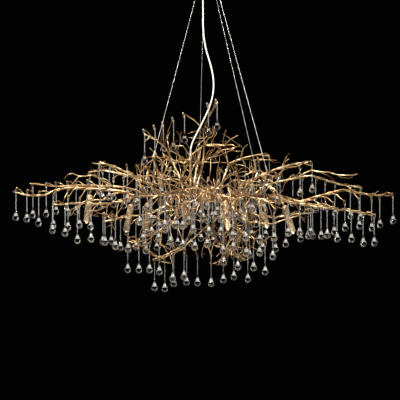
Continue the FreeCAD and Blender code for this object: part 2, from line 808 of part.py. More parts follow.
# ---------------------------------------------------------------- lamps
LAMPS = [
    # host, its arm's first place on the host's axis, the elbow, the middle of the sleeve's cap, its lean
    ("spine", (288, 0, 0), (306, -30, -12), (326, -56, -44), (0.32, -0.06)),
    ("spine", (212, 0, 0), (216, -24, -4), (224, -46, -20), (0.26, -0.12)),
    ("spine", (-222, 0, 0), (-228, 22, -6), (-238, 50, -30), (-0.16, 0.16)),
    ("spine", (-288, 0, 0), (-300, 12, -14), (-316, 34, -38), (-0.2, 0.1)),
    ("left_long", (-478, 12, 33), (-484, 14, 18), (-490, 16, 2), (-0.12, 0.04)),
    ("spine", (72, 0, 0), (76, -28, -4), (80, -54, -24), (0.1, -0.14)),
    ("spine", (-92, 0, 0), (-86, 24, -4), (-82, 60, -22), (-0.08, 0.16)),
]


class Lamp:
    """One slanted lamp: a sleeve that hangs from an arm, with a socket and a capsule inside."""

    def __init__(self, number, host, start, elbow, cap, lean):
        self.host = host
        self.cap = place(*cap)
        self.axis = V(*lean, -1).normalize()
        self.mouth = self.cap + self.axis * amount("sleeve_length")
        self.upright = pointing(-self.axis)
        before_cap = self.cap - self.axis * amount("arm_radius")
        self.arm = [place(*start), place(*elbow), before_cap, self.cap]
        self.name = f"lamp_{number}"
        radius = amount("arm_radius") * 0.7
        space.add_line(self.arm[1:], [radius] * 3, self.name)
        tip = self.cap + self.axis * (amount("sleeve_length") + amount("capsule_length") * 0.2)
        space.add(self.cap, tip, amount("sleeve_radius"), self.name)

    def inside(self, depth):
        """The placement, facing up, at this depth below the top of the sleeve's cap."""
        return FreeCAD.Placement(self.cap + self.axis * depth, self.upright)


def make_lamps(lamps, boughs, seat):
    radius = size("sleeve_radius")
    bore = radius - size("sleeve_wall")
    length = size("sleeve_length")
    top = length - size("sleeve_cap")
    sleeve = turned("sleeve", [(0, top), (bore, top), (bore, 0), (radius, 0), (radius, length), (0, length)])
    node("lamp_sleeves", copies("sleeve", [(sleeve, lamp.inside(length.value)) for lamp in lamps]))
    whole = size("socket_length") + size("socket_stem_length")
    holder = primitive("Prism", "socket_holder", Polygon=8, Circumradius=size("socket_radius"),
                       Height=size("socket_length"))
    stem = primitive("Prism", "socket_stem", (0, 0, size("socket_length")), Polygon=6,
                     Circumradius=size("socket_stem_radius"), Height=size("socket_stem_length"))
    socket = fuse("socket", holder, stem)
    socket_depth = (size("sleeve_cap") + whole).value
    node("lamp_sockets", copies("socket", [(socket, lamp.inside(socket_depth)) for lamp in lamps]))
    capsule = primitive("Prism", "capsule", Polygon=8, Circumradius=size("capsule_radius"),
                        Height=size("capsule_length"))
    capsule_depth = socket_depth + amount("capsule_length")
    node("lamp_capsules", copies("capsule", [(capsule, lamp.inside(capsule_depth)) for lamp in lamps]))
    arms = []
    for lamp in lamps:
        host = seat if lamp.host == "spine" else boughs[lamp.host].solid
        arm_radius = amount("arm_radius") * 0.7
        arms.append(seated(limb(lamp.arm, [arm_radius] * len(lamp.arm), BOUGH_SIDES), lamp.cap, host))
    node("lamp_arms", shaped("lamp_arms", arms))


# ---------------------------------------------------------------- glass drops
# Each row of drops shares one straight hinge line, from one drawn place to another.
ROWS = {
    "far_left": ((-800, -34, 14), (-470, -50, -34)),
    "rear_left": ((-744, 92, 30), (-300, 112, 66)),
    "upper_left": ((-508, 204, 84), (-226, 190, 146)),
    "crown_left": ((-440, -146, 122), (-186, -138, 34)),
    "front_left": ((-616, -206, -44), (-310, -200, -112)),
    "low_left": ((-440, 26, -88), (-150, 20, -150)),
    "lower_left": ((-326, -122, -188), (-84, -118, -236)),
    "lowest": ((-230, 82, -290), (180, 92, -244)),
    "lower_right": ((70, -130, -176), (240, -138, -206)),
    "under_right": ((460, 40, -72), (176, 30, -140)),
    "far_right": ((782, -42, -8), (424, -56, -62)),
    "rear_right": ((664, 106, 18), (320, 116, 82)),
    "front_right": ((674, -200, -94), (330, -190, -38)),
    "upper_right": ((434, -134, 122), (176, -132, 40)),
    "crown_right": ((276, 142, 162), (60, 120, 92)),
    "top": ((52, -44, 384), (-262, 44, 262)),
    "front": ((-258, -350, 10), (268, -350, -70)),
    "inner_front": ((-218, -216, -34), (238, -216, 52)),
    "rear": ((-266, 350, -52), (270, 350, 34)),
    "inner_rear": ((-226, 220, 62), (228, 220, -22)),
    "heart": ((-190, -84, 110), (150, -72, 20)),
    "low_front": ((-250, -278, -66), (262, -274, -128)),
    "low_rear": ((-270, 276, -122), (268, 278, -60)),
}
TWIG_GROUPS = {
    "left_twigs": ("left_long", "left_back", "left_front", "left_high"),
    "right_twigs": ("right_long", "right_upper", "right_front", "right_high"),
    "lower_twigs": ("lower_left", "lower_deep", "lower_centre", "right_low", "lower_right", "lower_middle"),
    "crown_twigs": ("top", "top_left", "upper_right", "upper_left"),
    "cross_twigs": ("front_left", "front_middle", "front_right", "back_left", "back_middle", "back_right"),
}
TWIG_GAP = 2.5
DROP_GAP = 3
SHIFTS = (0, 9, -9, 18, -18)  # tries along the row for each drop
UNEVEN = 0.22  # of the pitch, how far a drop's place may stray from even spacing
ROD_LENGTHS = ("short_rod_length", "middle_rod_length", "tall_rod_length")
SLIDES = (34, 52, 18, 70, 6, 90)  # how far back towards the root a twig leaves its bough
LEANS = (0, 18, -18, 32)  # degrees that a twig's end turns from square to the row
LIFTS = (8, 16, 0, 26, -8)
NEAREST, FURTHEST = 16, 165  # how far a drop's hook may be from the bough


def glass_rings(rod_length):
    """Rings of corners down a drop, from inside the eye's foot to the bottom of the bulb."""
    shoulder = -amount(rod_length)
    height = amount("bulb_height")
    outline = [
        (amount("glass_rod_radius"), -amount("eye_outer_radius") / 2 + 0.9),
        (amount("glass_rod_radius"), shoulder),
        (amount("bulb_radius"), shoulder - height * 0.66),
        (amount("bulb_radius") * 0.45, shoulder - height),
    ]
    return [ring(V(0, 0, z), -UP, ALONG, radius, DROP_SIDES)[0] for radius, z in outline]


def drop_form(rod_length):
    """One glass drop: a three-sided eye that hangs on the hook's pin, a thin rod and a bulb."""
    facing = FreeCAD.Rotation(V(0, 1, 0), -90)
    outer = primitive("Prism", "eye_outside", (size("eye_thickness") / 2, 0, 0), facing,
                      Polygon=3, Circumradius=size("eye_outer_radius"), Height=size("eye_thickness"))
    inner = primitive("Prism", "eye_opening", (size("eye_thickness"), 0, 0), facing,
                      Polygon=3, Circumradius=size("eye_inner_radius"), Height=size("eye_thickness") * 2)
    return fuse("drop", cut("eye", outer, inner), shaped("drop_glass", [skin(glass_rings(rod_length))]))


def hook_form():
    """One wire hook, open at one side: its top bar rides on a twig and its bottom bar is the drop's pin."""
    wire = size("hook_wire")
    outside = primitive("Box", "hook_outside", (-size("hook_width") / 2 - wire, -wire / 2, -wire / 2),
                        Length=size("hook_width") + wire * 2, Width=wire, Height=size("hook_height") + wire * 2)
    inside = primitive("Box", "hook_inside", (-size("hook_width") / 2, -wire, wire / 2),
                       Length=size("hook_width") + wire * 2, Width=wire * 2, Height=size("hook_height"))
    return cut("hook", outside, inside)


# The twig's middle lies this far from the pin.
TWIG_RISE = (
    amount("hook_wire") / 2 + amount("hook_height") - amount("seat_gap") - amount("twig_tip_radius")
)


class Row:
    """One hinge line with its drops. Its drops swing together about the line."""

    def __init__(self, name):
        first, last = ROWS[name]
        self.name = name
        self.first = place(*first)
        self.last = place(*last)
        self.along = (self.last - self.first).normalize()
        self.square = UP.cross(self.along).normalize()
        # A hook stands square to the line. A drop hangs plumb, turned only to face along it.
        self.up = self.along.cross(self.square)
        self.facing = FreeCAD.Rotation(self.along, self.square, self.up, "XYZ")
        self.level = FreeCAD.Rotation(self.square.cross(UP), self.square, UP, "XYZ")
        self.drops = []

    def rods(self, pin, rod_length):
        """The round-ended rods that a drop's rod and bulb fill through its whole swing, in degrees."""
        found = []
        shoulder = amount(rod_length)
        belly = shoulder + amount("bulb_height") * 0.62
        for share in (-1, -0.5, 0, 0.5, 1):
            down = FreeCAD.Rotation(self.along, amount("swing") * share).multVec(-UP)
            found.append((pin, pin + down * shoulder, amount("glass_rod_radius") + 0.6))
            found.append((pin + down * (shoulder + 6), pin + down * belly, amount("bulb_radius")))
        return found


def hook_rod(row, pin):
    """The round-ended rod that a hook fills."""
    reach = amount("hook_width") / 2 + amount("hook_wire")
    return pin, pin + row.up * (TWIG_RISE + amount("twig_tip_radius") + amount("hook_wire")), reach


def twig_route(row, pin, bough, slide, lean, lift):
    """A twig's line: it leaves the bough, bends once, and ends just past the hook."""
    seat = pin + row.up * TWIG_RISE
    ways = ways_along(bough.points)
    near = min(range(0, int(ways[-1]), 6), key=lambda way: point_at(bough.points, way).distanceToPoint(seat))
    base = point_at(bough.points, near - slide)
    side = math.copysign(1, (seat - base).dot(row.square))
    outward = FreeCAD.Rotation(UP, lean).multVec(row.square * side)
    reach = seat.distanceToPoint(base)
    before = seat - outward * min(14, reach * 0.35)
    tip = seat + outward * amount("twig_overhang")
    elbow = base + (before - base) * 0.5 + UP * lift
    return [base, elbow, before, tip], reach


def twig_radii():
    tip = amount("twig_tip_radius")
    return [amount("twig_root_radius"), (amount("twig_root_radius") + tip) / 2, tip, tip]


def twig_solid(line, bough):
    """A twig cut to sit on its bough. It is made from its tip, where a corner faces up and bears the hook."""
    whole = limb(line[::-1], twig_radii()[::-1], TWIG_SIDES, UP)
    return seated(whole, line[-1], bough.solid)


def room_for_drop(row, swing, pin):
    left_out = {f"{row.name}_drops"}
    return all(space.clear(a, b, radius, DROP_GAP, left_out) for a, b, radius in swing + [hook_rod(row, pin)])


def room_for_twig(swing, bough, line):
    radii = twig_radii()
    own = Space()
    for a, b, radius in swing:
        own.add(a, b, radius, "own")
    for i in range(len(line) - 1):
        left_out = {bough.name} if i == 0 else set()
        if not space.clear(line[i], line[i + 1], radii[i], TWIG_GAP, left_out):
            return False
        if not own.clear(line[i], line[i + 1], radii[i], TWIG_GAP):
            return False
    return True


def find_twig(row, pin, swing, boughs):
    """The first twig that reaches this pin in free space, with the bough that bears it, or None."""
    seat = pin + row.up * TWIG_RISE

    def gap(bough):
        return min(apart(seat, seat, a, b) for a, b in zip(bough.points[1:], bough.points[2:]))

    near = [bough for bough in boughs.values() if NEAREST < gap(bough) < FURTHEST]
    for bough in sorted(near, key=gap)[:3]:
        for slide in SLIDES:
            for lean in LEANS:
                for lift in LIFTS:
                    line, reach = twig_route(row, pin, bough, slide, lean, lift)
                    if reach < FURTHEST and room_for_twig(swing, bough, line):
                        return line, bough
    return None


def grow_row(row, boughs, twigs, chance):
    """Hangs drops along the row wherever a drop has room to swing and a twig can reach it."""
    span = row.first.distanceToPoint(row.last)
    pitch = amount("drop_pitch")
    stations = int(span / pitch) + 1
    for number in range(stations):
        rod_length = chance.choice(ROD_LENGTHS)
        stray = chance.uniform(-UNEVEN, UNEVEN) * pitch
        for shift in SHIFTS:
            way = min(max(span * number / max(stations - 1, 1) + stray + shift, 0), span)
            pin = row.first + row.along * way
            swing = row.rods(pin, rod_length)
            crowded = any(pin.distanceToPoint(other) < pitch * 0.7 for other, _ in row.drops)
            if crowded or not room_for_drop(row, swing, pin):
                continue
            found = find_twig(row, pin, swing, boughs)
            if found:
                twigs.append(found)
                row.drops.append((pin, rod_length))
                space.add_line(found[0], twig_radii(), f"twig_{len(twigs)}")
                space.add(*hook_rod(row, pin), "hooks")
                for a, b, radius in swing:
                    space.add(a, b, radius, f"{row.name}_drops")
                break


def main():
    cables = [Cable(name) for name in CABLES]
    ceiling_plate()
    canopy_cup(cables)
    canopy_screws()
    mains_block()
    cord_grip()
    grips_and_ferrules(cables)
    power_cord()
    spine()
    riser()
    junction_box()
    seat = spine_seat()
    boughs = grow_boughs(seat)
    grow_arms(cables, seat)
    lamps = [Lamp(number, *one) for number, one in enumerate(LAMPS)]
    make_lamps(lamps, boughs, seat)

    rows = [Row(name) for name in ROWS]
    twigs = []
    chance = random.Random(SEED)
    for row in rows:
        grow_row(row, boughs, twigs, chance)
        print(row.name, len(row.drops), "drops")
    print("drops in all:", sum(len(row.drops) for row in rows))
    for group, hosts in TWIG_GROUPS.items():
        solids = []
        for line, bough in twigs:
            if bough.name in hosts:
                solids.append(twig_solid(line, bough))
        node(group, shaped(group, solids))
    hook = hook_form()
    forms = {rod_length: drop_form(rod_length) for rod_length in ROD_LENGTHS}
    hung = [(hook, FreeCAD.Placement(pin, row.facing)) for row in rows for pin, _ in row.drops]
    node("drop_hooks", copies("hook", hung))
    for row in rows:
        hung = [(forms[rod_length], FreeCAD.Placement(pin, row.level)) for pin, rod_length in row.drops]
        node(f"{row.name}_drops", copies(f"{row.name}_drop", hung))

    doc.recompute()
    faults = [one.Name for one in doc.Objects if {"Invalid", "Error"} & set(one.State)]
    faults += [one.Label for one in nodes if one.Shape.isNull() or not one.Shape.isValid()]
    if faults:
        raise RuntimeError(f"these objects failed: {faults}")
    os.makedirs("parts", exist_ok=True)
    for one in nodes:
        one.Shape.exportStep(os.path.join("parts", f"{one.Label}.step"))
    print(len(nodes), "nodes written")


main()
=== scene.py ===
# %% [markdown]
# # A branch chandelier
# The real object is a long oval tangle of cast bronze boughs and twigs, hung from the ceiling on four thin
# steel cables. Clear glass drops hang from its twigs on wire hooks, and slanted tubes among the boughs hold
# the lamps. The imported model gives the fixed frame, and every piece below takes its place from it.

# %% Load the frame
import json
import math
import random

import bpy
import numpy as np
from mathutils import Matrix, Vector
from mathutils.kdtree import KDTree


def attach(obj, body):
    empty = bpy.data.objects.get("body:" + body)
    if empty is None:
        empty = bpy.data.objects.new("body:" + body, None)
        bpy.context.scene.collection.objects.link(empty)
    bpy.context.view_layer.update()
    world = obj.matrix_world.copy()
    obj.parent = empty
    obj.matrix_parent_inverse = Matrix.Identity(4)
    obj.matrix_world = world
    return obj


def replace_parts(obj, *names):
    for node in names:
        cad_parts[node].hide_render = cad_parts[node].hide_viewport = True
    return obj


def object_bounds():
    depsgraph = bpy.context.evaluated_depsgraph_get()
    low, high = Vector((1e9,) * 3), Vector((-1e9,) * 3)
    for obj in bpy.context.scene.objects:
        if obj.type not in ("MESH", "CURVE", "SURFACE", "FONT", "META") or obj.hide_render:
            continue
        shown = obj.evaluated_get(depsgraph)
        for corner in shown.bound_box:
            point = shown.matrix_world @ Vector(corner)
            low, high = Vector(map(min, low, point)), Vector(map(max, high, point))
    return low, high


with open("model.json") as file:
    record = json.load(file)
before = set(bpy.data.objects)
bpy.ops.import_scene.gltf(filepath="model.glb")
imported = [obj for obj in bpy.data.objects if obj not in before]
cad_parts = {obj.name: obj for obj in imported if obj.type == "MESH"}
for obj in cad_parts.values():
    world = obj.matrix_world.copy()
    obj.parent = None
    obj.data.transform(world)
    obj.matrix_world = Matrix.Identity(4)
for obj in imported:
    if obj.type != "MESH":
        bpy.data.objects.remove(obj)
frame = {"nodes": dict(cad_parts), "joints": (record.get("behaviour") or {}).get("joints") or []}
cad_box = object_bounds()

# %% [markdown]
# ## The camera
# The photograph was taken level with the branchwork from a few metres away: the rows of drops show no
# underside and no top. A long lens at 4.5 m, looking straight along +Y, gives the same flat view. One pixel
# of the photograph is 4.2 mm at the spine.

# %% Camera
PIXEL = 0.0042
DISTANCE = 4.5
eye_height = -0.924
view_width = 400 * PIXEL
lens = bpy.data.cameras.new("camera")
lens.sensor_width = 36
lens.lens = lens.sensor_width * DISTANCE / view_width
camera = bpy.data.objects.new("camera", lens)
camera.location = (-0.025, -DISTANCE, eye_height)
camera.rotation_euler = (math.radians(90), 0, 0)
bpy.context.scene.collection.objects.link(camera)
bpy.context.scene.camera = camera
print("lens", round(lens.lens, 1), "mm")

# %% [markdown]
# ## Small helpers for meshes
# A piece is made from arrays of corners and faces. `make_piece` puts them into a mesh object, shades it
# smooth and lets it ride on a body. The two attributes, `relief` and `tone`, are numbers kept on each
# corner: how far it stands out of its surface, and how light its stretch of bark is. The finishes read them.

# %% Helpers for pieces
def make_piece(name, corners, faces, body="fixture", slot="bronze", finish=None, relief=None, tone=None,
               looks=None):
    mesh = bpy.data.meshes.new(name)
    mesh.from_pydata([tuple(corner) for corner in corners], [], faces)
    mesh.validate()
    mesh.shade_smooth()
    for key, values in (("relief", relief), ("tone", tone)):
        if values is not None:
            layer = mesh.attributes.new(key, "FLOAT", "POINT")
            layer.data.foreach_set("value", np.asarray(values, dtype=np.float32))
    piece = bpy.data.objects.new(name, mesh)
    bpy.context.scene.collection.objects.link(piece)
    for one in finish if isinstance(finish, tuple) else (finish,):
        mesh.materials.append(one)
    if looks is not None:
        mesh.polygons.foreach_set("material_index", looks)
    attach(piece, body)
    return piece


class Heap:
    """Corners and faces of many small forms, gathered for one piece."""

    def __init__(self):
        self.corners, self.faces, self.relief, self.tone, self.looks = [], [], [], [], []
        self.count = 0

    def add(self, corners, faces, relief=None, tone=0.5, looks=None):
        """Adds a form. Looks says which of the piece's finishes each face has."""
        self.corners.append(corners)
        self.looks += looks or [0] * len(faces)
        self.faces += [tuple(self.count + i for i in face) for face in faces]
        self.relief.append(np.full(len(corners), 0.5) if relief is None else relief)
        self.tone.append(np.broadcast_to(np.asarray(tone, dtype=float), (len(corners),)))
        self.count += len(corners)

    def piece(self, name, **options):
        return make_piece(name, np.concatenate(self.corners), self.faces,
                          relief=np.concatenate(self.relief), tone=np.concatenate(self.tone),
                          looks=self.looks, **options)


def tube_faces(rings, sides, closed=False):
    """Quads between the rings of a tube, and a cap at each end unless it closes on itself."""
    faces = []
    for i in range(rings if closed else rings - 1):
        for j in range(sides):
            k = (j + 1) % sides
            after = (i + 1) % rings
            faces.append((i * sides + j, i * sides + k, after * sides + k, after * sides + j))
    if not closed:
        faces.append(tuple(reversed(range(sides))))
        faces.append(tuple((rings - 1) * sides + j for j in range(sides)))
    return faces


def unit(vector):
    return vector / np.linalg.norm(vector)


def frames_along(path):
    """Two directions square to the path at each point, carried along it without twist."""
    ways = np.gradient(path, axis=0)
    ways /= np.linalg.norm(ways, axis=1)[:, None]
    start = np.array([0.0, 0.0, 1.0]) if abs(ways[0][2]) < 0.9 else np.array([1.0, 0.0, 0.0])
    first = [unit(start - ways[0] * start.dot(ways[0]))]
    for way in ways[1:]:
        first.append(unit(first[-1] - way * first[-1].dot(way)))
    first = np.array(first)
    return first, np.cross(ways, first)


def wire(path, radius, sides=8, closed=False):
    """Corners and faces of a plain round wire."""
    path = np.asarray(path, dtype=float)
    first, second = frames_along(path)
    turns = np.linspace(0, 2 * math.pi, sides, endpoint=False)
    radius = np.broadcast_to(np.asarray(radius, dtype=float), (len(path),))
    corners = path[:, None] + (first[:, None] * np.cos(turns)[None, :, None]
                               + second[:, None] * np.sin(turns)[None, :, None]) * radius[:, None, None]
    return corners.reshape(-1, 3), tube_faces(len(path), sides, closed)


print("helpers ready")

# %% [markdown]
# ## Finishes as arithmetic
# A finish is a tree of shader nodes. Here one small class wraps a socket, so that `1 - mask` or
# `grain * 0.3 + 0.4` adds the Math nodes itself, and one method adds any other node.

# %% The wrapped socket
class Wire:
    """A socket of a shader tree. Arithmetic on it adds Math nodes."""

    def __init__(self, tree, socket=None):
        self.tree, self.socket = tree, socket

    def node(self, kind, settings=None, inputs=None, output=0):
        """Adds a node: its settings first, then the values or links of its sockets."""
        made = self.tree.nodes.new(kind)
        for key, value in (settings or {}).items():
            if key == "stops":
                ramp = made.color_ramp
                while len(ramp.elements) < len(value):
                    ramp.elements.new(0.5)
                for stop, (at, colour) in zip(ramp.elements, value):
                    stop.position = at
                    stop.color = (*colour, 1)
            else:
                setattr(made, key, value)
        for key, value in (inputs or {}).items():
            self.feed(made.inputs[key], value)
        return Wire(self.tree, made.outputs[output])

    def feed(self, socket, value):
        if isinstance(value, Wire):
            self.tree.links.new(value.socket, socket)
        elif isinstance(value, tuple) and len(value) == 3 and socket.type == "RGBA":
            socket.default_value = (*value, 1)
        else:
            socket.default_value = value

    def maths(self, operation, *values):
        return self.node("ShaderNodeMath", {"operation": operation}, dict(enumerate(values)))

    def __add__(self, other):
        return self.maths("ADD", self, other)

    def __radd__(self, other):
        return self.maths("ADD", other, self)

    def __sub__(self, other):
        return self.maths("SUBTRACT", self, other)

    def __rsub__(self, other):
        return self.maths("SUBTRACT", other, self)

    def __mul__(self, other):
        return self.maths("MULTIPLY", self, other)

    def __rmul__(self, other):
        return self.maths("MULTIPLY", other, self)

    def held(self, low, high):
        """This value, stretched from low...high to 0...1 and held inside."""
        return self.node("ShaderNodeMapRange", {"clamp": True},
                         {"Value": self, "From Min": low, "From Max": high})

    def blend(self, low, high):
        """A colour from low to high by this value."""
        return self.node("ShaderNodeMix", {"data_type": "RGBA"}, {0: self, 6: low, 7: high}, output=2)

    def noise(self, scale, detail=3.0, output=0):
        """Noise in the frame's own metres: scale is in waves per metre."""
        place = self.node("ShaderNodeTexCoord", output="Object")
        return self.node("ShaderNodeTexNoise", None,
                         {"Vector": place, "Scale": scale, "Detail": detail}, output)

    def kept(self, name):
        """A number that the mesh keeps on its corners."""
        return self.node("ShaderNodeAttribute", {"attribute_name": name}, output="Fac")

    def bump(self, height, distance, strength=1.0):
        return self.node("ShaderNodeBump", None,
                         {"Strength": strength, "Distance": distance, "Height": height}, output="Normal")


def finish(name, build):
    """A material whose main shader is fed by what build returns: sockets and their values or links."""
    material = bpy.data.materials.new(name)
    material.use_nodes = True
    tree = material.node_tree
    shader = tree.nodes["Principled BSDF"]
    start = Wire(tree)
    for key, value in build(start).items():
        start.feed(shader.inputs[key], value)
    return material


print("finishes can be written")

# %% [markdown]
# ## The power cord
# A round cord of 6 mm brings the current down from the canopy to a gland on the riser. It is a little longer
# than the straight way, so it hangs in one lazy bend between the cables. A NURBS curve is the right tool: its
# few control points pull it into a smooth line, as bending stiffness does with a real cord.

# %% Cord
CORD_POINTS = [
    (-12, -22, -55.5), (-12, -22, -126), (-13, -20, -205), (-4, -15, -285), (21, -12, -360), (35, -13, -436),
    (25, -16, -512), (-8, -13, -587), (-44, -5, -655), (-65, 0, -700), (-65, 0, -735),
]


def cord_finish(start):
    cloud = start.noise(90, 4)
    return {
        "Base Color": cloud.blend((0.74, 0.72, 0.66), (0.86, 0.85, 0.80)),
        "Roughness": cloud * 0.2 + 0.3,
        "Coat Weight": 0.2,
        "Normal": start.bump(start.noise(2600, 2), 0.0002, 0.4),
    }


sheath = finish("cord_sheath", cord_finish)
line = bpy.data.curves.new("power_cord_line", "CURVE")
line.dimensions = "3D"
spline = line.splines.new("NURBS")
spline.points.add(len(CORD_POINTS) - 1)
for control, (x, y, z) in zip(spline.points, CORD_POINTS):
    control.co = (x / 1000, y / 1000, z / 1000, 1)
spline.order_u = 3
spline.use_endpoint_u = True
spline.resolution_u = 10
line.bevel_depth = 0.003
line.bevel_resolution = 4
line.materials.append(sheath)
cord = bpy.data.objects.new("power_cord_line", line)
bpy.context.scene.collection.objects.link(cord)
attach(cord, "fixture")
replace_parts(cord, "power_cord")
print("cord with", len(CORD_POINTS), "points")

# %% [markdown]
# ## The four steel cables
# Each cable is a strand of six wires twisted round a seventh, 2.5 mm thick. It hangs taut and straight. The
# twist catches the light, so the wires are real geometry: six helixes along the line from the grip down to
# the ferrule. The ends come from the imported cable, whose corners all lie on its two end faces.

# %% Cables
def corners_of(node):
    mesh = frame["nodes"][node].data
    found = np.empty(len(mesh.vertices) * 3)
    mesh.vertices.foreach_get("co", found)
    return np.unique(found.reshape(-1, 3).round(6), axis=0)


def steel_finish(start):
    streak = start.noise(300, 4)
    return {
        "Base Color": streak.blend((0.50, 0.50, 0.50), (0.72, 0.71, 0.69)),
        "Metallic": 1.0,
        "Roughness": streak * 0.25 + 0.22,
        "Normal": start.bump(start.noise(3000, 2), 0.0001, 0.3),
    }


steel = finish("steel_strand", steel_finish)
CABLE_RADIUS = 0.00125
LAY_LENGTH = 0.020  # one turn of a wire round the strand
RINGS_PER_LAY = 12
OUTER_WIRES = 6
cable_ends = []
for name in ("left_cable", "centre_cable", "right_rear_cable", "right_front_cable"):
    corners = corners_of(name)
    middle = corners[:, 2].mean()
    top = corners[corners[:, 2] > middle].mean(axis=0)
    foot = corners[corners[:, 2] < middle].mean(axis=0)
    cable_ends.append((name, top, foot))
    span = np.linalg.norm(foot - top)
    steps = int(span / LAY_LENGTH * RINGS_PER_LAY)
    share = np.linspace(0, 1, steps)[:, None]
    centre = top + (foot - top) * share
    first, second = frames_along(centre)
    strand = Heap()
    for number in range(OUTER_WIRES):
        turn = share * span / LAY_LENGTH * 2 * math.pi + number * math.pi / 3
        offset = (first * np.cos(turn) + second * np.sin(turn)) * CABLE_RADIUS * 2 / 3
        strand.add(*wire(centre + offset, CABLE_RADIUS / 3, sides=5))
    strand.add(*wire(centre[::RINGS_PER_LAY], CABLE_RADIUS / 2.6, sides=5))
    piece = strand.piece(f"{name}_strand", slot="steel", finish=steel)
    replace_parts(piece, name)
    [tuple(point) for point in centre[::2 * RINGS_PER_LAY]] + [tuple(foot)]
    print(name, round(span * 1000), "mm,", len(strand.faces), "faces")

# %% [markdown]
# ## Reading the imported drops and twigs
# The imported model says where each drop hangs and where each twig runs. A node's mesh holds many separate
# forms, so its corners are gathered into islands first: corners that share a face belong together. A drop's
# pin is the point of its row's hinge line straight above the foot of the glass.

# %% Islands
def islands_of(node):
    """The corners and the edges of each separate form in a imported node."""
    mesh = frame["nodes"][node].data
    raw = np.empty(len(mesh.vertices) * 3)
    mesh.vertices.foreach_get("co", raw)
    corners, same = np.unique(raw.reshape(-1, 3).round(6), axis=0, return_inverse=True)
    same = same.reshape(-1)
    edges = np.empty(len(mesh.edges) * 2, dtype=int)
    mesh.edges.foreach_get("vertices", edges)
    edges = same[edges].reshape(-1, 2)
    lead = list(range(len(corners)))

    def leader(i):
        while lead[i] != i:
            lead[i] = lead[lead[i]]
            i = lead[i]
        return i

    for a, b in edges:
        lead[leader(a)] = leader(b)
    owners = np.array([leader(i) for i in range(len(corners))])
    found = []
    for owner in np.unique(owners):
        members = np.flatnonzero(owners == owner)
        place = {int(old): new for new, old in enumerate(members)}
        own = [(place[int(a)], place[int(b)]) for a, b in edges if owners[a] == owner]
        found.append((corners[members], np.array(own)))
    return found


BULB_HEIGHT = 0.036


class Row:
    """One hinge line with the pins and rod lengths of its drops."""

    def __init__(self, joint):
        self.body = joint["child"]
        self.along = unit(np.array(joint["axis"]))
        self.square = unit(np.cross((0, 0, 1), self.along))
        self.up = np.cross(self.along, self.square)
        start = np.array(joint["pos_m"])
        self.drops = []
        for corners, _ in islands_of(self.body):
            foot = corners[corners[:, 2] < corners[:, 2].min() + 0.0005].mean(axis=0)
            flat = self.along[:2]
            way = (foot[:2] - start[:2]).dot(flat) / flat.dot(flat)
            pin = start + self.along * way
            self.drops.append((pin, pin[2] - foot[2] - BULB_HEIGHT))


rows = [Row(joint) for joint in frame["joints"]]
pins = [(row, pin, rod) for row in rows for pin, rod in row.drops]
print(len(pins), "drops; rods from", round(min(rod for _, _, rod in pins) * 1000, 1), "to",
      round(max(rod for _, _, rod in pins) * 1000, 1), "mm")

# %% [markdown]
# ## Boughs
# The boughs are cast in bronze from real branches: they bend at their knots, swell there, and their bark has
# long ridges. A Blender curve with a round bevel would be as smooth as pipe, so each limb is skinned ring by
# ring instead. Waves of random pitch push the rings in and out, and knots swell some of them. The places are
# those of the CAD source, in millimetres from the middle of the spine.

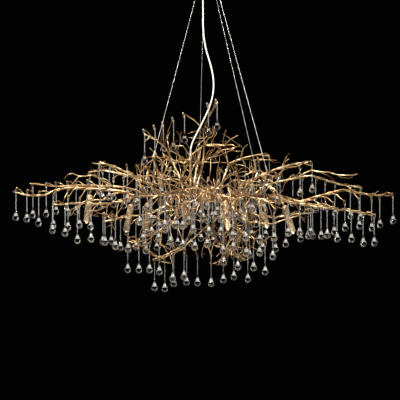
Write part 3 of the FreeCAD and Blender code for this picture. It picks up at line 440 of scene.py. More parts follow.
# %% Routes of the boughs
SPINE_HEIGHT = -907
BOUGHS = {
    "long_boughs": {
        "left_long": [(-294, 0, 0), (-306, 0, 0), (-350, -2, 16), (-403, 8, 27), (-496, 14, 34),
                      (-588, 8, 36), (-636, 2, 23), (-672, -4, 4), (-741, 4, 0), (-812, -6, 19)],
        "right_long": [(294, 0, 0), (306, 0, 0), (350, 6, -14), (395, 2, -26), (458, -4, -6), (575, 6, 25),
                       (613, 4, 17), (690, -2, 4), (786, 0, 2)],
    },
    "left_boughs": {
        "left_back": [(-250, 0, 0), (-300, 36, 26), (-370, 62, 40), (-450, 72, 44), (-540, 66, 48),
                      (-640, 60, 40), (-751, 48, 54)],
        "left_front": [(-265, 0, 0), (-300, -60, -6), (-350, -118, -24), (-430, -150, -32), (-520, -158, -30),
                       (-620, -150, -36)],
        "left_high": [(-205, 0, 0), (-236, 62, 44), (-290, 126, 78), (-368, 152, 98), (-442, 160, 112),
                      (-512, 158, 104)],
    },
    "right_boughs": {
        "right_upper": [(200, 0, 0), (246, 40, 44), (320, 66, 62), (400, 74, 78), (452, 70, 88),
                        (530, 72, 62), (600, 66, 44), (668, 60, 36)],
        "right_front": [(265, 0, 0), (292, -66, -14), (360, -128, -30), (460, -156, -48), (559, -152, -56),
                        (678, -150, -80)],
        "right_high": [(150, 0, 0), (178, -48, 56), (246, -78, 96), (318, -86, 122), (392, -84, 136),
                       (436, -90, 124)],
    },
    "lower_boughs": {
        "lower_left": [(-150, 0, 0), (-172, -24, -44), (-230, -30, -74), (-314, -26, -84), (-383, -30, -98),
                       (-434, -22, -108)],
        "lower_deep": [(-110, 0, 0), (-116, -36, -58), (-136, -62, -112), (-200, -70, -150),
                       (-262, -74, -176), (-324, -72, -192)],
        "lower_centre": [(-50, 0, 0), (-52, 24, -84), (-66, 32, -152), (-98, 34, -212), (-160, 32, -246),
                         (-228, 34, -270)],
        "right_low": [(150, 0, 0), (166, 52, -46), (214, 80, -84), (296, 90, -92), (372, 84, -78),
                      (457, 88, -72)],
        "lower_right": [(85, 0, 0), (94, -38, -58), (112, -72, -112), (152, -84, -152), (196, -84, -174),
                        (240, -90, -186)],
        "lower_middle": [(50, 0, 0), (44, 36, -70), (30, 44, -150), (52, 46, -212), (104, 44, -246),
                         (168, 48, -266)],
    },
    "crown_boughs": {
        "top": [(-48, 0, 0), (-30, 14, 70), (-10, 26, 150), (-4, 20, 224), (-10, 12, 262), (-2, 6, 304),
                (24, 0, 352), (50, -4, 396)],
        "top_left": [(-90, 0, 0), (-104, 40, 64), (-132, 70, 118), (-150, 84, 168), (-168, 84, 204),
                     (-204, 84, 234), (-264, 86, 266)],
        "upper_right": [(60, 0, 0), (72, 34, 70), (100, 66, 142), (168, 84, 166), (228, 92, 178),
                        (276, 96, 170)],
        "upper_left": [(-170, 0, 0), (-196, -46, 46), (-262, -84, 58), (-320, -92, 92), (-384, -96, 122),
                       (-442, -98, 138)],
    },
    "cross_boughs": {
        "front_left": [(-85, 0, 0), (-92, -84, 18), (-108, -176, 26), (-136, -256, 14), (-186, -298, 2),
                       (-250, -304, -4)],
        "front_middle": [(48, 0, 0), (22, -92, 30), (-4, -190, 34), (2, -264, 18), (34, -302, 4),
                         (96, -308, -6)],
        "front_right": [(112, 0, 0), (120, -96, 8), (140, -186, 6), (162, -258, -4), (204, -298, -12),
                        (262, -300, -22)],
        "back_left": [(-135, 0, 0), (-142, 88, 6), (-150, 178, 22), (-166, 252, 12), (-206, 300, 2),
                      (-262, 302, 0)],
        "back_middle": [(55, 0, 0), (34, 92, 14), (4, 186, 30), (-4, 262, 18), (-30, 302, 8), (-90, 306, 4)],
        "back_right": [(122, 0, 0), (128, 92, 8), (140, 184, 22), (164, 258, 10), (208, 300, 0),
                       (266, 300, -8)],
    },
}
print(sum(len(group) for group in BOUGHS.values()), "boughs in", len(BOUGHS), "nodes")

# %% [markdown]
# The routes are corners of a bent line. Cutting the corners a few times gives a curve that stays inside them,
# which matters here: the free space was measured round the straight runs, and a curve that overshoots would
# leave it. The first cut is short, so the knees stay sharp, as they are in old wood.

# %% Smooth lines and bark
def smooth(points, step):
    """The bent line with its corners cut three times, then divided evenly."""
    line = np.asarray(points, dtype=float)
    for share in (0.12, 0.25, 0.25):
        early = line[:-1] * (1 - share) + line[1:] * share
        late = line[:-1] * share + line[1:] * (1 - share)
        line = np.concatenate([line[:1], np.stack([early, late], 1).reshape(-1, 3)[1:-1], line[-1:]])
    return divide(line, step)


def divide(line, step):
    ways = np.concatenate([[0], np.cumsum(np.linalg.norm(np.diff(line, axis=0), axis=1))])
    count = max(int(ways[-1] / step), 3)
    even = np.linspace(0, ways[-1], count + 1)
    return np.stack([np.interp(even, ways, line[:, axis]) for axis in range(3)], axis=1)


KNOT_SPACING = 60  # mm between knots on a limb with knots=3
BARK_WAVES = ((1, 0.5), (2, 0.8), (3, 1.0), (5, 0.6))  # waves round the limb, and their weight
WAVES_TOGETHER = 2.2


def bark(path, radii, sides, chance, knots=3.0, rough=0.10):
    """Corners, faces and relief of one limb with ridged bark and knots, rounded off at its tip."""
    length = np.linalg.norm(np.diff(path, axis=0), axis=1).sum()
    ways = np.linspace(0, length, len(path))
    swell = np.zeros(len(path))
    for _ in range(max(1, round(length * 1000 / KNOT_SPACING * knots / 3))):
        middle, width = chance.uniform(0, length), chance.uniform(0.7, 1.6) * radii.mean()
        swell += chance.uniform(0.12, 0.34) * np.exp(-((ways - middle) / width) ** 2)
    close = np.clip((length - ways) / (radii[-1] * 1.2), 0, 1)
    turns = np.linspace(0, 2 * math.pi, sides, endpoint=False)
    waves = np.zeros((len(path), sides))
    for lobes, weight in BARK_WAVES:
        pitch = chance.uniform(25, 160) * chance.choice((-1, 1))
        waves += weight * np.sin(lobes * turns[None] + pitch * ways[:, None] + chance.uniform(0, 6.28))
    waves /= WAVES_TOGETHER
    radius = radii * (1 + swell) * np.sqrt(1 - (1 - close) ** 2 * 0.96)
    first, second = frames_along(path)
    reach = radius[:, None] * (1 + rough * waves)
    corners = path[:, None] + (first[:, None] * np.cos(turns)[None, :, None]
                               + second[:, None] * np.sin(turns)[None, :, None]) * reach[..., None]
    # Relief is high on ridges and knots and low in the grooves. The bronze finish turns it into pale gold with
    # a painted highlight, and dark oxide with painted shade.
    relief = np.clip(0.5 + 0.42 * waves + 0.9 * swell[:, None], 0, 1)
    return corners.reshape(-1, 3), tube_faces(len(path), sides), relief.reshape(-1)


def wander(path, size, chance, start=0.0, end=0.0):
    """The path with a slow sideways wander that fades out at both ends."""
    share = np.linspace(0, 1, len(path))
    fade = np.sin(math.pi * np.clip((share - start) / (1 - start - end), 0, 1))
    moved = path.copy()
    for axis in range(3):
        moved[:, axis] += size * fade * np.sin(share * chance.uniform(5, 14) + chance.uniform(0, 6.28))
    return moved


print("bark helpers ready")

# %% [markdown]
# ## The bronze
# Cast bronze with a worn patina: ridges and knots are rubbed to a pale gold that also carries a painted
# highlight, flanks are copper brown, and the grooves keep a dark oxide that is also painted shade. The relief
# that each corner carries picks between them, and slow noise along the boughs shifts the whole from gold to
# copper. It stays mostly metal all over, but the oxide is duller and rougher.

# %% Bronze finish
def bronze_finish(start):
    patch = start.noise(14, 2)
    grain = start.noise(420, 5)
    relief = (start.kept("relief") + grain * 0.6 - 0.3).held(0.2, 0.85)
    warm = (patch + start.kept("tone") - 0.5).held(0.2, 0.8)
    # Pale gold of the rubbed ridges and knots, with a painted highlight in it.
    ridge_gold_and_highlight = warm.blend((0.80, 0.47, 0.21), (1.0, 0.87, 0.58))
    flank = warm.blend((0.17, 0.07, 0.03), (0.46, 0.28, 0.11))
    # Dark oxide of the grooves, which is also painted shade there.
    oxide_and_painted_shade = grain.blend((0.030, 0.014, 0.008), (0.085, 0.040, 0.020))
    upper = (relief.held(0.45, 0.9)).blend(flank, ridge_gold_and_highlight)
    return {
        "Base Color": relief.held(0.05, 0.5).blend(oxide_and_painted_shade, upper),
        "Metallic": relief.held(0.0, 0.5) * 0.3 + 0.68,
        "Roughness": 0.44 - relief * 0.24 + grain * 0.12,
        "Normal": start.bump(grain + start.noise(1500, 2) * 0.4, 0.0008, 0.9),
    }


bronze = finish("bronze_bark", bronze_finish)
print("bronze finish with", len(bronze.node_tree.nodes), "nodes")

# %% [markdown]
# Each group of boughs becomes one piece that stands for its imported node. The two long boughs run on out of
# the spine's ends. Every other bough swells where it leaves the spine, as a branch does at its collar.

# %% Boughs
SEED = 4
BOUGH_STEP = 0.004  # between the rings of a bough's skin
BOUGH_WANDER = 0.0016
LONG_ROOT = 0.0082  # radii of the two long boughs and of the others where they start
SIDE_ROOT = 0.0050
BOUGH_TIP = 0.0027
COLLAR = 0.012  # length over which a side bough's collar fades out


def spot(x, y, z):
    return (x / 1000, y / 1000, (SPINE_HEIGHT + z) / 1000)


chance = random.Random(SEED)
bough_lines = {}
for group, members in BOUGHS.items():
    heap = Heap()
    for name, drawn in members.items():
        is_long = name.endswith("_long")
        root = LONG_ROOT if is_long else SIDE_ROOT
        line = wander(smooth([spot(*point) for point in drawn], BOUGH_STEP), BOUGH_WANDER, chance)
        share = np.linspace(0, 1, len(line))
        radii = root + (BOUGH_TIP - root) * share
        if not is_long:
            radii = radii * (1 + 0.5 * np.exp(-(share * len(line) * BOUGH_STEP / COLLAR) ** 2))
        bough_lines[name] = line
        corners, faces, relief = bark(line, radii, 10, chance)
        heap.add(corners, faces, relief, chance.uniform(0.3, 0.9))
    piece = heap.piece(f"{group}_bark", finish=bronze)
    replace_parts(piece, group)
    print(group, len(members), "boughs,", len(heap.faces), "faces")

# %% [markdown]
# ## Twigs
# A twig leaves its bough, bends once and ends just past its hook. Its packed form has flat sides, so its
# centre line is read back by slicing it: each slice cuts some edges, and the middle of the cuts is on the
# line. The new skin follows that line, starts inside the bough and ends in a rounded tip.

# %% Twigs
SLICE_MARGIN = 0.0008  # between the ends of a form and its first and last slice


def centre_line(corners, edges, slices=9):
    """Points down the middle of a slim form, from one end to the other."""
    spread = corners - corners.mean(axis=0)
    way = np.linalg.svd(spread, full_matrices=False)[2][0]
    heights = spread.dot(way)
    cuts = np.linspace(heights.min() + SLICE_MARGIN, heights.max() - SLICE_MARGIN, slices)
    found = []
    for cut in cuts:
        low, high = heights[edges[:, 0]], heights[edges[:, 1]]
        crossing = (low - cut) * (high - cut) < 0
        share = ((cut - low) / (high - low + 1e-12))[crossing, None]
        ends = corners[edges[crossing]]
        found.append((ends[:, 0] * (1 - share) + ends[:, 1] * share).mean(axis=0))
    return np.array(found)


bough_points = np.concatenate(list(bough_lines.values()))
bough_tree = KDTree(len(bough_points))
for number, point in enumerate(bough_points):
    bough_tree.insert(point, number)
bough_tree.balance()

TWIG_NODES = ("left_twigs", "right_twigs", "lower_twigs", "crown_twigs", "cross_twigs")
TWIG_STEP = 0.0035
TWIG_WANDER = 0.0011
TWIG_ROOT = 0.0023
TWIG_THINS = 0.0006  # how much thinner the twig is at its tip
TWIG_COLLAR = 0.0014  # how much thicker it is where it leaves the bough
TWIG_COLLAR_LENGTH = 0.007
twig_lines = []
for node in TWIG_NODES:
    heap = Heap()
    for corners, edges in islands_of(node):
        line = centre_line(corners, edges)
        if bough_tree.find(line[0])[2] > bough_tree.find(line[-1])[2]:
            line = line[::-1]
        foot = np.array(bough_tree.find(line[0])[0])
        line = np.concatenate([[foot + (line[0] - foot) * 0.2], line])
        path = wander(smooth(line, TWIG_STEP), TWIG_WANDER, chance, end=0.25)
        share = np.linspace(0, 1, len(path))
        ways = share * len(path) * TWIG_STEP
        radii = TWIG_ROOT - TWIG_THINS * share + TWIG_COLLAR * np.exp(-(ways / TWIG_COLLAR_LENGTH) ** 2)
        corners, faces, relief = bark(path, radii, 8, chance, knots=2.0, rough=0.09)
        heap.add(corners, faces, relief, chance.uniform(0.2, 1.0))
        twig_lines.append(path)
    piece = heap.piece(f"{node}_bark", finish=bronze)
    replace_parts(piece, node)
    print(node, len(heap.faces), "faces")

# %% [markdown]
# ## Spine and arms
# Two straight tubes carry every bough, and arms stand up from them to the cables and lean out from them to
# the lamps. On the real object they are cast with bark like the boughs, so each gets the same skin. The
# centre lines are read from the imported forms.

# %% Spine and arms
def end_points(node):
    """The two ends of each long straight form in a node, from its corners."""
    found = []
    for corners, _ in islands_of(node):
        middle = corners.mean(axis=0)
        way = np.linalg.svd(corners - middle, full_matrices=False)[2][0]
        way = way if way[2] > 0 else -way
        heights = (corners - middle).dot(way)
        found.append((middle + way * heights.max(), middle + way * heights.min()))
    return found


SPINE_RADIUS = 0.0092
SPINE_WANDER = 0.0012
ARM_RADII = {"hanger_arms": 0.0047, "lamp_arms": 0.0033}
heap = Heap()
for one, other in end_points("spine_tubes"):
    line = wander(divide(np.array([one, other]), BOUGH_STEP), SPINE_WANDER, chance)
    corners, faces, relief = bark(line, np.full(len(line), SPINE_RADIUS), 14, chance, knots=5.0, rough=0.13)
    # The spine's relief is scaled down and its tone kept low, so it is painted dark all along: painted shade
    # for the middle of the tangle.
    heap.add(corners, faces, relief * 0.35, 0.1)
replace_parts(heap.piece("spine_bark", finish=bronze), "spine_tubes")
for node, thick in ARM_RADII.items():
    heap = Heap()
    for corners, edges in islands_of(node):
        line = divide(centre_line(corners, edges, 12), TWIG_STEP)
        if line[0][2] > line[-1][2]:
            line = line[::-1]
        radii = np.full(len(line), thick)
        corners, faces, relief = bark(line, radii, 10, chance)
        heap.add(corners, faces, relief, chance.uniform(0.3, 0.9))
    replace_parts(heap.piece(f"{node}_bark", finish=bronze), node)
    print(node, len(heap.faces), "faces")

# %% [markdown]
# ## Lamps
# Each lamp is a slanted tube of pale gilded bronze with a rolled lip, hammered all over, closed by a domed
# cap where its arm enters. Its colour is pale gold on the raised hammer marks, as painted glints, and dark
# brown in the dents, as painted shade. A pin-base capsule of frosted glass looks out of its mouth, narrow at
# its base and drawn to a little tip. Both are turned forms, so an outline is turned about the lamp's own
# axis, which is read from the imported sleeve. The capsule glows faintly.

# %% Lamps
def turn_about(outline, top, axis, sides, dent=None):
    """An outline of (radius, depth) pairs turned about an axis that starts at top."""
    side = unit(np.cross(axis, (0, 1, 0)))
    other = np.cross(axis, side)
    turns = np.linspace(0, 2 * math.pi, sides, endpoint=False)
    outline = np.asarray(outline, dtype=float)
    reach = np.repeat(outline[:, :1], sides, axis=1)
    if dent is not None:
        reach = reach + dent
    corners = (top + outline[:, None, 1:] * axis + reach[..., None]
               * (np.cos(turns)[None, :, None] * side + np.sin(turns)[None, :, None] * other))
    return corners.reshape(-1, 3), tube_faces(len(outline), sides)


def sleeve_finish(start):
    fleck = start.noise(300, 5)
    pool = start.noise(55, 3)
    relief = (start.kept("relief") + fleck * 0.7 - 0.35).held(0.1, 0.9)
    gold = pool.blend((0.86, 0.64, 0.36), (1.0, 0.92, 0.72))
    return {
        # Pale gold on the raised hammer marks and flecks is painted glints, and dark brown in the dents is
        # painted shade.
        "Base Color": relief.blend((0.34, 0.20, 0.09), gold),
        "Metallic": 0.7,
        "Roughness": 0.50 - relief * 0.28,
        "Normal": start.bump(fleck + pool, 0.0012, 0.9),
    }


def capsule_finish(start):
    cloud = start.noise(260, 3)
    return {
        "Base Color": cloud.blend((0.86, 0.83, 0.76), (0.97, 0.95, 0.90)),
        "Roughness": cloud * 0.2 + 0.25,
        "Emission Color": cloud.blend((1.0, 0.62, 0.30), (1.0, 0.74, 0.44)),
        "Emission Strength": 1.8,
        "Coat Weight": 0.6,
        "Normal": start.bump(cloud, 0.0003, 0.3),
    }


SLEEVE_RADIUS = 0.0134
SLEEVE_BORE = 0.0122
SLEEVE_LENGTH = 0.112
CAPSULE_RADIUS = 0.0056
CAPSULE_LENGTH = 0.054
SLEEVE_SIDES = 28
CAPSULE_SIDES = 16
HAMMER_DEPTH = 0.00014
HAMMER_WAVES = ((3, 210), (5, -330), (8, 420), (2, -95))  # waves round the tube, and along it per metre
CAP_RINGS = 4
WALL_RINGS = 26


def sleeve_outline():
    """Radius and depth: the domed cap, the long wall, the rolled lip, and back up inside the bore."""
    cap = [(0.0036, -0.004), (0.0062, -0.0034), (0.0105, -0.0012), (SLEEVE_RADIUS - 0.0004, 0.002)]
    depths = np.linspace(0.006, SLEEVE_LENGTH - 0.005, WALL_RINGS)
    wall = [(SLEEVE_RADIUS - 0.0005, depth) for depth in depths]
    lip = [(SLEEVE_RADIUS, SLEEVE_LENGTH - 0.0035), (SLEEVE_RADIUS + 0.0004, SLEEVE_LENGTH - 0.0018),
           (SLEEVE_RADIUS, SLEEVE_LENGTH), (SLEEVE_BORE + 0.0003, SLEEVE_LENGTH)]
    inside = [(SLEEVE_BORE, SLEEVE_LENGTH - 0.002), (SLEEVE_BORE, 0.0045), (0.0005, 0.0035)]
    return cap + wall + lip + inside


def capsule_outline():
    """Radius and depth, from the narrow base to the drawn tip."""
    base = [(0.0026, 0), (0.0034, 0.001), (0.0036, 0.009), (0.0050, 0.012), (CAPSULE_RADIUS, 0.015)]
    wall = [(CAPSULE_RADIUS, depth) for depth in np.linspace(0.018, CAPSULE_LENGTH - 0.008, 5)]
    tip = [(0.0050, CAPSULE_LENGTH - 0.0055), (0.0036, CAPSULE_LENGTH - 0.0036),
           (0.0017, CAPSULE_LENGTH - 0.0022), (0.0010, CAPSULE_LENGTH - 0.0008), (0.0004, CAPSULE_LENGTH)]
    return base + wall + tip


sleeves, capsules = Heap(), Heap()
lamp_axes = []
outline = sleeve_outline()
for top, mouth in end_points("lamp_sleeves"):
    axis = unit(mouth - top)
    lamp_axes.append((top, mouth))
    turns = np.linspace(0, 2 * math.pi, SLEEVE_SIDES, endpoint=False)[None]
    depths = np.array(outline)[:, 1:]
    hammer = sum(np.sin(lobes * turns + pitch * depths + chance.uniform(0, 6.28))
                 for lobes, pitch in HAMMER_WAVES)
    rings = np.arange(len(outline))
    on_wall = ((rings >= CAP_RINGS) & (rings < CAP_RINGS + WALL_RINGS))[:, None]
    corners, faces = turn_about(outline, top, axis, SLEEVE_SIDES, hammer * HAMMER_DEPTH * on_wall)
    # The relief of the hammering, which the gilt finish turns into painted glints on the raised marks and
    # painted shade in the dents.
    sleeves.add(corners, faces, np.clip(0.5 + hammer * 0.18, 0, 1).reshape(-1), chance.uniform(0.4, 1))
for base, tip in end_points("lamp_capsules"):
    capsules.add(*turn_about(capsule_outline(), base, unit(tip - base), CAPSULE_SIDES))
gilt = finish("gilded_bronze", sleeve_finish)
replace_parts(sleeves.piece("lamp_sleeve_tubes", finish=gilt), "lamp_sleeves")
capsule_glass = finish("capsule_glass", capsule_finish)
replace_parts(capsules.piece("lamp_capsule_tubes", slot="capsule_glass", finish=capsule_glass), "lamp_capsules")
print(len(lamp_axes), "lamps")

# %% [markdown]
# ## Free space
# The bare twigs that fill the branchwork must stay clear of everything that moves or hangs: each drop through
# its whole swing, the hooks, the cables, the cord and the lamps. Points are scattered over all of these, each
# with the distance that a twig has to keep. A tree of the points answers quickly whether a place is free.

# %% Free space
SWING = math.radians(15)
# How far the middle line of a bare twig keeps off the middle of each thing.
OFF_ROD = 0.0075
OFF_NECK = 0.012
OFF_BULB = 0.0185
OFF_HOOK = 0.0085
OFF_CABLE = 0.0085
OFF_CORD = 0.017
OFF_LAMP = 0.019
FARTHEST = 0.023  # more than any of these with a twig's own thickness
NECK_DEPTH = 0.008  # of the neck below the rod
BULB_DEPTH = BULB_HEIGHT - 0.0145
HOOK_HEIGHT = 0.022
BOX_GAP = 0.004
HALF_DEPTH, HALF_LENGTH = 0.35, 0.83  # of the oval seen from above
taken, keep = [], []


def take(points, distance):
    for point in points:
        taken.append(point)
        keep.append(distance)


def along_line(start, end, step):
    count = max(int(np.linalg.norm(end - start) / step), 1)
    return [start + (end - start) * i / count for i in range(count + 1)]


for row, pin, rod in pins:
    for share in np.linspace(-1, 1, 9):
        tilt = SWING * share
        down = -np.array([0, 0, 1]) * math.cos(tilt) + row.square * math.sin(tilt)
        take(along_line(pin, pin + down * rod, 0.007), OFF_ROD)
        take([pin + down * (rod + NECK_DEPTH)], OFF_NECK)
        take([pin + down * (rod + BULB_DEPTH)], OFF_BULB)
    take(along_line(pin, pin + row.up * HOOK_HEIGHT, 0.006), OFF_HOOK)
for _, top, foot in cable_ends:
    take(along_line(top, foot, 0.008), OFF_CABLE)
for one, other in zip(CORD_POINTS, CORD_POINTS[1:]):
    take(along_line(np.array(one) / 1000, np.array(other) / 1000, 0.01), OFF_CORD)
for top, mouth in lamp_axes:
    take(along_line(top, mouth + (mouth - top) * 0.12, 0.006), OFF_LAMP)
space = KDTree(len(taken))
for number, point in enumerate(taken):
    space.insert(point, number)
space.balance()
LOW, HIGH = np.array(cad_box[0]) + BOX_GAP, np.array(cad_box[1]) - BOX_GAP

# The outline of the branchwork seen from the front: its upper and lower edge above the spine, along X.
EDGE_X = (-0.81, -0.6, -0.45, -0.3, -0.2, -0.1, 0.05, 0.16, 0.25, 0.45, 0.7, 0.79)
UPPER_EDGE = (0.03, 0.08, 0.16, 0.18, 0.27, 0.26, 0.30, 0.26, 0.23, 0.15, 0.08, 0.03)
LOWER_EDGE = (-0.03, -0.07, -0.12, -0.21, -0.26, -0.28, -0.29, -0.27, -0.21, -0.12, -0.07, -0.03)


def is_free(point, extra):
    if (point < LOW).any() or (point > HIGH).any():
        return False
    above = point[2] - SPINE_HEIGHT / 1000
    if not np.interp(point[0], EDGE_X, LOWER_EDGE) < above < np.interp(point[0], EDGE_X, UPPER_EDGE):
        return False
    if abs(point[1]) > HALF_DEPTH * math.sqrt(max(1 - (point[0] / HALF_LENGTH) ** 2, 0.0)):
        return False
    return all(distance > keep[number] + extra for _, number, distance in space.find_range(point, FARTHEST))


print(len(taken), "points keep the bare twigs away")

# %% [markdown]
# ## Bare twigs
# A bare twig starts on a bough or on another twig, leaves it at a sharp angle and gropes outwards. At every
# step it turns a little, now and then it makes a knee, and where its way is blocked it tries other ways and
# at last stops. Its first steps, close beside the host, aren't tested. Longer ones fork. The middle gets most
# of them, and the longest, so it grows dense there.

# %% Bare twigs
STEP = 0.005
UNTESTED_STEPS = 2
BARE_STEP = 0.0042  # between the rings of a bare twig's skin


def any_way(chance):
    return unit(np.array([chance.gauss(0, 1) for _ in range(3)]))


def grope(start, way, length, extra, chance):
    """A path that feels its way through free space from start."""
    path = [start]
    bend = any_way(chance) * 0.06
    for number in range(int(length / STEP)):
        if chance.random() < 0.11:
            way = unit(way + any_way(chance) * 0.36)
            bend = any_way(chance) * 0.06
        for attempt in range(7):
            turn = unit(way + bend + any_way(chance) * (0.05 + 0.16 * attempt))
            point = path[-1] + turn * STEP
            if number < UNTESTED_STEPS or is_free(point, extra):
                way = turn
                path.append(point)
                break
        else:
            break
    return np.array(path)


def leave(host, index, chance, spread):
    """A direction that leaves the host's line at a sharp angle."""
    ahead = host[min(index + 2, len(host) - 1)] - host[max(index - 2, 0)]
    out = np.array([chance.gauss(0, 1), chance.gauss(0, 0.8), chance.gauss(0.12, 1)])
    return unit(unit(ahead) * chance.uniform(0.5, 1.1) + unit(out) * spread)


# Long bare shoots, as places from the middle of the spine in millimetres. Each starts at the bough nearest to
# its first place.
SHOOTS = [
    [(-148, -60, 161), (-166, -90, 203), (-202, -110, 232), (-264, -120, 262)],
    [(-60, -50, 152), (-76, -70, 182), (-102, -84, 214), (-148, -96, 208)],
    [(-102, 30, 80), (-76, 20, 144), (-98, -20, 166), (-146, -50, 192), (-160, -60, 206)],
    [(-16, -20, 204), (-70, -66, 150), (-97, -90, 134), (-153, -110, 155), (-183, -120, 174)],
    [(0, 14, 214), (26, -30, 258), (40, -44, 284)],
    [(4, 0, 214), (60, -10, 210), (118, -20, 209), (136, -24, 202)],
    [(80, -10, 208), (110, -30, 240), (134, -34, 254), (140, -36, 246)],
    [(-38, 40, 137), (21, 10, 166), (69, -20, 198), (120, -40, 206)],
    [(152, 60, 172), (160, 10, 204), (179, -10, 222)],
    [(85, -60, 37), (96, -110, -21), (123, -150, -74), (171, -170, -107), (230, -176, -112),
     (284, -170, -107), (337, -160, -91), (391, -150, -69)],
    [(-161, -70, -21), (-124, -110, -64), (-97, -130, -69), (-49, -140, -48), (-17, -130, -26)],
    [(-103, -60, -85), (-145, -90, -123), (-204, -110, -150), (-258, -120, -177), (-316, -124, -192)],
    [(10, -40, -123), (-17, -70, -150), (-70, -90, -192), (-97, -100, -224), (-145, -104, -240),
     (-204, -100, -267), (-231, -96, -278)],
    [(0, -50, -181), (37, -90, -203), (91, -110, -219), (144, -120, -214),
     (198, -126, -200), (230, -126, -190)],
    [(101, -110, -224), (134, -116, -251), (160, -120, -270)],
    [(160, -40, 54), (235, -70, 49), (289, -90, 17), (321, -100, -16), (358, -106, -32), (420, -110, -30)],
    [(166, 60, 70), (209, 20, 70), (251, -30, 97), (284, -50, 113), (332, -60, 124), (391, -60, 129),
     (440, -56, 140)],
    [(-244, -40, 0), (-274, -80, 65), (-322, -100, 97), (-354, -110, 113), (-418, -120, 129),
     (-470, -120, 140)],
    [(-250, 20, 6), (-306, -20, 27), (-338, -40, 43), (-386, -60, 37), (-412, -80, 70), (-450, -90, 75)],
    [(-311, -60, -16), (-375, -90, -21), (-412, -100, -48), (-450, -110, -64), (-500, -114, -60)],
    [(-60, -120, 40), (-110, -160, 70), (-170, -190, 60), (-230, -200, 88), (-290, -196, 80)],
    [(60, -120, 30), (120, -170, 66), (180, -200, 50), (240, -206, 84), (300, -190, 74)],
    [(-20, -90, 20), (-60, -150, -20), (-120, -180, -60), (-190, -190, -66), (-250, -186, -110)],
    [(30, -80, 10), (70, -150, -40), (60, -180, -90), (100, -196, -130), (150, -190, -160)],
    [(-40, 90, 40), (-100, 150, 90), (-160, 190, 80), (-230, 200, 120), (-290, 196, 100)],
    [(50, 90, 40), (110, 150, 100), (170, 190, 90), (240, 200, 110), (310, 190, 80)],
    [(-30, 100, -20), (-90, 160, -60), (-150, 180, -110), (-220, 190, -120), (-280, 180, -160)],
    [(40, 100, -20), (90, 160, -70), (160, 180, -100), (220, 190, -130), (270, 180, -150)],
    [(340, 20, -10), (420, -20, -40), (500, -40, -30), (560, -60, -60), (620, -60, -56)],
    [(-360, 0, 20), (-430, -30, -20), (-520, -40, -30), (-580, -60, -60), (-640, -50, -50)],
    [(380, 60, 70), (450, 20, 110), (520, 0, 104), (590, -20, 90), (640, -20, 96)],
    [(-400, 60, 40), (-470, 30, 90), (-540, 10, 84), (-600, 0, 104), (-650, -10, 92)],
]


def follow(places, extra, chance):
    """A path that feels its way from the nearest bough through the given places."""
    goals = [np.array(spot(*one)) for one in places]
    path = [np.array(bough_tree.find(goals[0])[0])]
    for goal in goals:
        bend = any_way(chance) * 0.25
        for _ in range(int(1.6 * np.linalg.norm(goal - path[-1]) / STEP) + 2):
            left = goal - path[-1]
            if np.linalg.norm(left) < 0.009:
                break
            for attempt in range(12):
                turn = unit(unit(left) + bend + any_way(chance) * (0.08 + 0.14 * attempt))
                point = path[-1] + turn * STEP
                if len(path) <= UNTESTED_STEPS or is_free(point, extra):
                    path.append(point)
                    break
            else:
                return np.array(path)
    return np.array(path)


bare = {"left": Heap(), "middle": Heap(), "right": Heap()}
shoot_lines = []


def part_of(path):
    """Which piece a bare limb goes into."""
    middle = path[len(path) // 2][0]
    return bare["left" if middle < -0.2 else "right" if middle > 0.2 else "middle"]


SHOOT_ROOT = 0.0037
SHOOT_THINS = 0.0018
SHOOT_GAP = 0.0015  # kept free beyond a twig's own distances
for places in SHOOTS:
    path = follow(places, SHOOT_GAP, chance)
    if len(path) < 8:
        continue
    share = np.linspace(0, 1, len(path))
    fine = divide(path, BARE_STEP)
    radii = np.interp(np.linspace(0, 1, len(fine)), share, SHOOT_ROOT - SHOOT_THINS * share)
    corners, faces, relief = bark(fine, radii, 8, chance, knots=2.5, rough=0.11)
    part_of(path).add(corners, faces, relief, chance.uniform(0.4, 1.0))
    shoot_lines.append(path)
print(len(shoot_lines), "long shoots,", round(sum(len(one) for one in shoot_lines) * STEP, 1), "m")
limbs = list(bough_lines.values()) + shoot_lines
hosts = limbs + twig_lines


def bare_twig(host, index, length, root, chance, depth=0):
    """Grows one twig with its forks into its piece, and says how many twigs that made."""
    way = leave(host, index, chance, 0.9)
    path = grope(host[index], way, length, root * 0.5, chance)
    if len(path) < 5:
        return 0
    share = np.linspace(0, 1, len(path))
    radii = root * (1 - 0.55 * share)
    fine = divide(path, BARE_STEP)
    radii = np.interp(np.linspace(0, 1, len(fine)), share, radii)
    corners, faces, relief = bark(fine, radii, 6, chance, knots=2.5, rough=0.10)
    part_of(path).add(corners, faces, relief, chance.uniform(0.0, 1.0))
    grown = 1
    if depth < 2 and len(path) > 9:
        for _ in range(chance.choice((0, 1, 1, 2))):
            at = chance.randrange(int(len(path) * 0.25), len(path) - 2)
            grown += bare_twig(path, at, length * chance.uniform(0.3, 0.65), root * 0.78, chance, depth + 1)
    return grown


